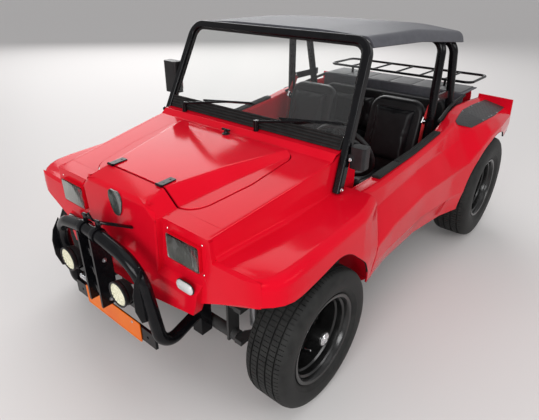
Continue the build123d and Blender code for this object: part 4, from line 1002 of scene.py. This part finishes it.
# The roof: a moulded shell in grained dark grey with rolled edges, bolted to pads on the roll cage.
roof_grey = painted(
    "roof_grey", ((0.066, 0.067, 0.078), (0.092, 0.093, 0.106)), 35, (0.48, 0.62), (70, 0.25), IOR=1.36
)
rounded("roof_top", 0.008, roof_grey)

# The roll cage: two welded hoops with side plates, in gloss black, on feet bolted to the body.
rounded("roll_cage", 0.003, black_paint)
rail_bolts = [(at(side * 0.5368, y, 0.98), (side, 0, 0)) for side in (1, -1) for y in (1.515, 1.765)]
fit(set_out("cage_bolts", dome_nut(0.008, 0.01), rail_bolts), machined_steel)

# The luggage rack: thin black rod on four legs above the shelf.
rounded("luggage_rack", 0.0015, black_paint)

# The rear shelf and bulkhead: a dark grey moulding, the shelf laid with grey boards.
BOARDS = 6
BOARD_W, BOARD_GAP = 0.172, 0.007
board_grey = painted("board_grey", ((0.085, 0.085, 0.088), (0.13, 0.13, 0.132)), 12, (0.45, 0.65), (40, 0.3))
rounded("rear_tub", 0.004, roof_grey)
boards = []
for count in range(BOARDS):
    x = (count - (BOARDS - 1) / 2) * (BOARD_W + BOARD_GAP)
    boards.append(soften(box("board", (BOARD_W, 0.256, 0.006), at(x, 2.064, 0.9468)), 0.0018, 3))
fit(joined("shelf_boards", boards), board_grey)

# The dashboard's fittings: three plain dials in bright rims before the driver, a row of pull knobs and a
# grab rail for the passenger, on the red moulding.
DASH_FACE = 0.548
DIALS = (
    # x, height, radius
    (0.33, 0.815, 0.048), (0.225, 0.812, 0.029), (0.435, 0.812, 0.029),
)
MARKS = 9
NEEDLE = 2.4
KNOBS = (0.13, 0.08, 0.03, -0.02)
dial_black = painted("dial_black", ((0.01, 0.01, 0.011), (0.016, 0.016, 0.017)), 50, (0.25, 0.4), (10, 0.1))
dial_white = painted("dial_white", ((0.7, 0.7, 0.66), (0.8, 0.8, 0.77)), 50, (0.35, 0.5), (10, 0.1))
rims, faces, marks = [], [], []
for x, z, radius in DIALS:
    middle = at(x, DASH_FACE, z)
    inner = radius - 0.005
    rims.append(turned("rim", (
        (-0.002, radius), (0.006, radius), (0.01, radius - 0.002), (0.01, inner), (0.004, radius - 0.006),
        (-0.002, radius - 0.006),
    ), middle, (0, 1, 0), 40))
    face = ((-0.001, 0), (-0.001, inner), (0.003, inner), (0.0035, 0))
    faces.append(turned("face", face, middle, (0, 1, 0), 40))
    for count in range(MARKS):
        angle = math.radians(-30 + count * 30)
        out = Vector((math.cos(angle), 0, math.sin(angle)))
        start = middle + Vector((0, 0.004, 0))
        ends = (start + out * radius * 0.66, start + out * radius * 0.8)
        marks.append(strip_between("mark", *ends, 0.002, 0.001, (0, 1, 0)))
    tip = Vector((math.cos(NEEDLE), 0, math.sin(NEEDLE)))
    pivot = middle + Vector((0, 0.005, 0))
    marks.append(strip_between("needle", pivot, pivot + tip * radius * 0.6, 0.003, 0.001, (0, 1, 0)))
fit(joined("dial_rims", rims), bright)
fit(joined("dial_faces", faces), dial_black)
fit(joined("dial_marks", marks), dial_white)
knob = turned(
    "knob", ((0, 0), (0, 0.005), (0.014, 0.005), (0.016, 0.009), (0.022, 0.011), (0.026, 0.009), (0.027, 0)),
    (0, 0, 0), (0, 0, 1), 20,
)
knob_places = [(at(x, DASH_FACE - 0.001, 0.8), (0, 1, 0)) for x in KNOBS]
fit(set_out("dash_knobs", knob, knob_places), black_plastic)
grab = [
    (-0.46, 0.546), (-0.46, 0.572), (-0.452, 0.582), (-0.44, 0.586), (-0.22, 0.586), (-0.208, 0.582),
    (-0.2, 0.572), (-0.2, 0.546),
]
fit(tube("grab_rail", [at(x, y, 0.83) for x, y in grab], 0.009, 3), black_paint)

# The steering: a black three-spoked wheel with a plain horn button, on a black column.
STEER_MID = at(0.33, 0.815, 0.79)
STEER_AXIS = Vector((0, math.cos(math.radians(28)), math.sin(math.radians(28))))
rounded("steering_wheel", 0.0015, black_plastic, "steering")
rounded("steering_column", 0.002, black_plastic)
button = turned(
    "horn_button",
    ((-0.008, 0), (-0.008, 0.03), (-0.003, 0.03), (0.001, 0.026), (0.003, 0.016), (0.004, 0)),
    STEER_MID, STEER_AXIS, 32,
)
fit(button, bright, "steering")

# The controls: a gear lever and hand brake on the tunnel and three pedals below the dashboard.
controls = []
for y, lean, long, knob_r in ((0.9, 0.05, 0.3, 0.021), (1.02, -0.1, 0.17, 0.013)):
    foot, _ = plumb("floor_pan", 0, y, 0.6)
    top = foot + Vector((0, -lean, long))
    controls.append(turned("boot", (
        (-0.002, 0), (-0.002, 0.04), (0.008, 0.034), (0.014, 0.024), (0.022, 0.02), (0.034, 0.011), (0.036, 0),
    ), foot, (0, 0, 1), 24))
    controls.append(rod("lever", foot, top, 0.007))
    controls.append(turned("knob", (
        (0, 0), (0.002, knob_r * 0.6), (knob_r * 0.7, knob_r), (knob_r * 1.4, knob_r * 0.85),
        (knob_r * 1.9, knob_r * 0.4), (knob_r * 2, 0),
    ), top - Vector((0, 0, 0.006)), top - foot, 20))
for x in (0.24, 0.32, 0.4):
    controls.append(rod("arm", at(x, 0.434, 0.6), at(x, 0.5, 0.4), 0.007))
    controls.append(strip_between("pedal", at(x, 0.512, 0.43), at(x, 0.5, 0.355), 0.056, 0.012, (0, 1, 0)))
fit(joined("hand_controls", controls), black_plastic)

# The front seats: high-backed shells in grained black vinyl, piped round the back, each with a stuffed
# squab stitched into channels and a plain stuffed back pad.
SEAT_X, SEAT_CORNER, CHANNELS = 0.32, 0.085, 5
PAD_GRAIN, PAD_PRESSURE, PAD_STEPS, PAD_SWELL = 0.006, 4, 20, 0.014
SEAM_SHARE, SEAM_DEPTH, SEAM_END = 0.14, 0.007, 0.03
vinyl = painted(
    "black_vinyl", ((0.005, 0.005, 0.006), (0.01, 0.01, 0.011)), 22, (0.32, 0.46), (40, 0.2), IOR=1.34
)


def across_top(low):
    """A test for the short level edges that run front to back above a height."""
    return lambda middle, run: middle.z > low and abs(run.y) > 0.95 * run.length


rounded(
    "front_seats", 0.022, vinyl, first=lambda piece: ease_edges(piece, across_top(0.955), SEAT_CORNER, 6)
)


def stuffed(name, size, place, tilt, channels=CHANNELS):
    """A pad blown up as cloth, eased and sewn into channels, then laid at its place and tilt about x."""
    wide, long, _ = size
    pad = soften(box(name, size, (0, 0, 0)), 0.012, 3)
    worked(pad, "REMESH", mode="VOXEL", voxel_size=PAD_GRAIN)
    before = [corner.co.copy() for corner in pad.data.vertices]
    cloth = pad.modifiers.new("stuffing", "CLOTH")
    cloth.settings.use_pressure = True
    cloth.settings.uniform_pressure_force = PAD_PRESSURE
    cloth.settings.effector_weights.gravity = 0
    for step in range(1, PAD_STEPS + 1):
        bpy.context.scene.frame_set(step)
    bpy.ops.object.modifier_apply(modifier=cloth.name)
    bpy.context.scene.frame_set(1)
    for corner, start in zip(pad.data.vertices, before):
        moved = corner.co - start
        if moved.length > PAD_SWELL:
            corner.co = start + moved * (PAD_SWELL / moved.length)
    worked(pad, "SMOOTH", factor=0.5, iterations=14)
    pitch = wide / channels
    for corner in pad.data.vertices:
        across = abs((corner.co.x / pitch + channels / 2) % 1 - 0.5)
        seam = max(0, across - (0.5 - SEAM_SHARE)) / SEAM_SHARE
        if corner.co.z > 0 and abs(corner.co.y) < long / 2 - SEAM_END:
            corner.co.z -= SEAM_DEPTH * seam * seam
    worked(pad, "SUBSURF", levels=1, render_levels=1)
    pad.data.transform(Matrix.Translation(place) @ Matrix.Rotation(math.radians(tilt), 4, "X"))
    return pad


squab = stuffed("seat_squab_left", (0.286, 0.34, 0.05), at(SEAT_X, 1.135, 0.51), -4.6)
back_pad = stuffed("seat_back_left", (0.27, 0.35, 0.05), at(SEAT_X, 1.394, 0.745), 76.8, 1)
for pad in (squab, back_pad):
    both(pad, vinyl)

piping = []
arc = [math.radians(angle) for angle in range(0, 91, 15)]
outline = [(0.172, 0.62)]
for angle in arc:
    x = 0.172 - SEAT_CORNER * (1 - math.cos(angle))
    outline.append((x, 0.954 - SEAT_CORNER * (1 - math.sin(angle))))
outline += [(-x, z) for x, z in reversed(outline)]
for side in (1, -1):
    points = []
    for x, z in outline:
        lean = 0.1154 if z > 0.7 else 0.1078
        points.append(at(side * SEAT_X + x, 1.466 + (z - 0.7) * lean, z))
    piping.append(tube("piping", points, 0.0045))
fit(joined("seat_piping", piping), vinyl)

# The rear bench: one low vinyl seat across the car with two stuffed squabs and two back pads.
rounded(
    "rear_bench", 0.02, vinyl, first=lambda piece: ease_edges(piece, across_top(0.885), 0.06, 6)
)
bench_squab = stuffed("bench_squab_left", (0.4, 0.21, 0.045), at(0.228, 1.683, 0.574), -5)
bench_back = stuffed("bench_back_left", (0.4, 0.25, 0.045), at(0.228, 1.828, 0.72), 81.4)
for pad in (bench_squab, bench_back):
    both(pad, vinyl)

# The sill pads: black rubber treads along each door sill with three raised ribs.
rounded("sill_pads", 0.004, rubber_black)
pad_ribs = []
for side in (1, -1):
    for x in (0.622, 0.634, 0.646):
        lane = [plumb("sill_pads", side * x, 0.8 + 0.02 * step)[0] for step in range(36)]
        lane = [place for place in lane if place]
        pad_ribs.append(tube("rib", lane[1:-1], 0.0035, 1))
fit(joined("sill_ribs", pad_ribs), rubber_black)

# The tread plates: black chequered sheet on the rear wings, its raised lozenges set crosswise, held by
# countersunk screws round the rim.
TREAD_STEP = 0.027
TREAD_ROWS, TREAD_COLUMNS, TREAD_MARGIN = 30, 12, 0.014
tread_black = painted(
    "tread_black", ((0.016, 0.016, 0.017), (0.03, 0.03, 0.031)), 30, (0.35, 0.55), (50, 0.3)
)
rounded("fender_plates", 0.001, tread_black)
lozenge_places = {1: [], -1: []}
for side in (1, -1):
    for row in range(TREAD_ROWS):
        y = 1.53 + row * TREAD_STEP
        line = []
        for column in range(TREAD_COLUMNS):
            x = 0.585 + (column + 0.5 * (row % 2)) * TREAD_STEP
            place, facing = plumb("fender_plates", side * x, y)
            around = ((TREAD_MARGIN, 0), (-TREAD_MARGIN, 0), (0, TREAD_MARGIN), (0, -TREAD_MARGIN))
            if place and all(plumb("fender_plates", side * (x + dx), y + dy)[0] for dx, dy in around):
                line.append((place, facing))
        for count, spot in enumerate(line):
            lozenge_places[1 if (row + count) % 2 else -1].append(spot)
lozenges = []
for turn, places in lozenge_places.items():
    bpy.ops.mesh.primitive_uv_sphere_add(segments=8, ring_count=4, radius=1)
    bump = bpy.context.object
    lozenge = Matrix.Diagonal((0.01, 0.0034, 0.0013, 1))
    bump.data.transform(Matrix.Rotation(turn * math.pi / 4, 4, "Z") @ lozenge)
    lozenges.append(set_out("lozenge", bump, places))
fit(joined("tread_lozenges", lozenges), tread_black)

RIM_SCREWS, SCREW_EDGE, SCREW_STEP = 8, 0.011, 0.002
low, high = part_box("fender_plates")
middle_x, middle_y = 0.7, (low[1] + high[1]) / 2 - FRONT_AXLE_Y


def on_plate(side, angle, reach):
    """The place on a tread plate at an angle and a reach from its middle, and the way it faces."""
    x, y = middle_x + reach * math.cos(angle), middle_y + reach * math.sin(angle)
    return plumb("fender_plates", side * x, y)


rim_screws = []
for side in (1, -1):
    for angle in round_about(RIM_SCREWS, 0.5):
        reach = 0.02
        while on_plate(side, angle, reach)[0]:
            reach += SCREW_STEP
        rim_screws.append(on_plate(side, angle, reach - SCREW_EDGE))
fit(set_out("tread_screws", cross_screw(0.0055, 0.0022), rim_screws), machined_steel)

# The edge trim: a black rubber bead pressed over the inner edge of each rear wing, from the door to the
# shelf.
TRIM = (
    # x, y behind the front axle, height
    (0.586, 1.47, 0.865), (0.569, 1.62, 0.892), (0.5605, 1.7, 0.906), (0.557, 1.76, 0.915),
    (0.557, 1.95, 0.931),
)
for side, name in ((1, "left"), (-1, "right")):
    bead = tube("edge_trim_" + name, [at(side * x, y, z) for x, y, z in TRIM], 0.01, 3)
    fit(bead, rubber_black)

# The seat belts: red webbing hung from the side plates of the roll cage, with a bright buckle each.
webbing = painted("red_webbing", ((0.42, 0.01, 0.014), (0.55, 0.02, 0.024)), 120, (0.6, 0.8), (160, 0.4))
BELT_X, BELT_T, BELT_W = 0.512, 0.002, 0.046
hook, bend_at, tip = at(BELT_X, 1.496, 0.985), at(BELT_X, 1.421, 0.86), at(BELT_X, 1.405, 0.64)
belt = joined("belt_left", [
    strip_between("belt_top", hook, bend_at, BELT_T, BELT_W, (0, -0.86, 0.51)),
    strip_between("belt_end", bend_at, tip, BELT_T, BELT_W, (0, -0.997, 0.07)),
])
clasp = strip_between("plate", at(0.508, 1.43, 0.876), at(0.508, 1.412, 0.842), 0.01, 0.056, (0, -0.88, 0.47))
buckle = joined("buckle_left", [
    soften(clasp, 0.002), rod("pin", at(0.498, 1.421, 0.86), at(0.52, 1.421, 0.86), 0.008),
])
anchor = rod("anchor_left", at(0.506, 1.496, 0.985), at(0.54, 1.496, 0.985), 0.01)
both(belt, webbing)
both(buckle, bright)
both(anchor, bright)

# The tail lamps: red ribbed lenses on black backs, screwed to the tail of each rear wing.
TAIL = at(0.69, 2.2903, 0.77)
tail_lens = painted(
    "tail_lens", ((0.42, 0.004, 0.006), (0.55, 0.01, 0.012)), 40, (0.08, 0.16), (12, 0.2), Coat_Weight=0.6
)
rounded("tail_lamps", 0.006, tail_lens)
lens_lines = joined("tail_lines_left", [
    rod("line", TAIL + Vector((-0.066, 0.026, z)), TAIL + Vector((0.066, 0.026, z)), 0.0022, 8)
    for z in (-0.03, -0.015, 0, 0.015, 0.03)
])
back = box("tail_back_left", (0.16, 0.006, 0.1), TAIL + Vector((0, 0.0035, 0)))
rounded_corners(back, 0.018)
soften(back, 0.0015, 2, 50)
both(lens_lines, tail_lens)
both(back, black_plastic)

# The rear bumper: one bent black tube round the engine.
rounded("rear_bumper", 0.002, black_paint)
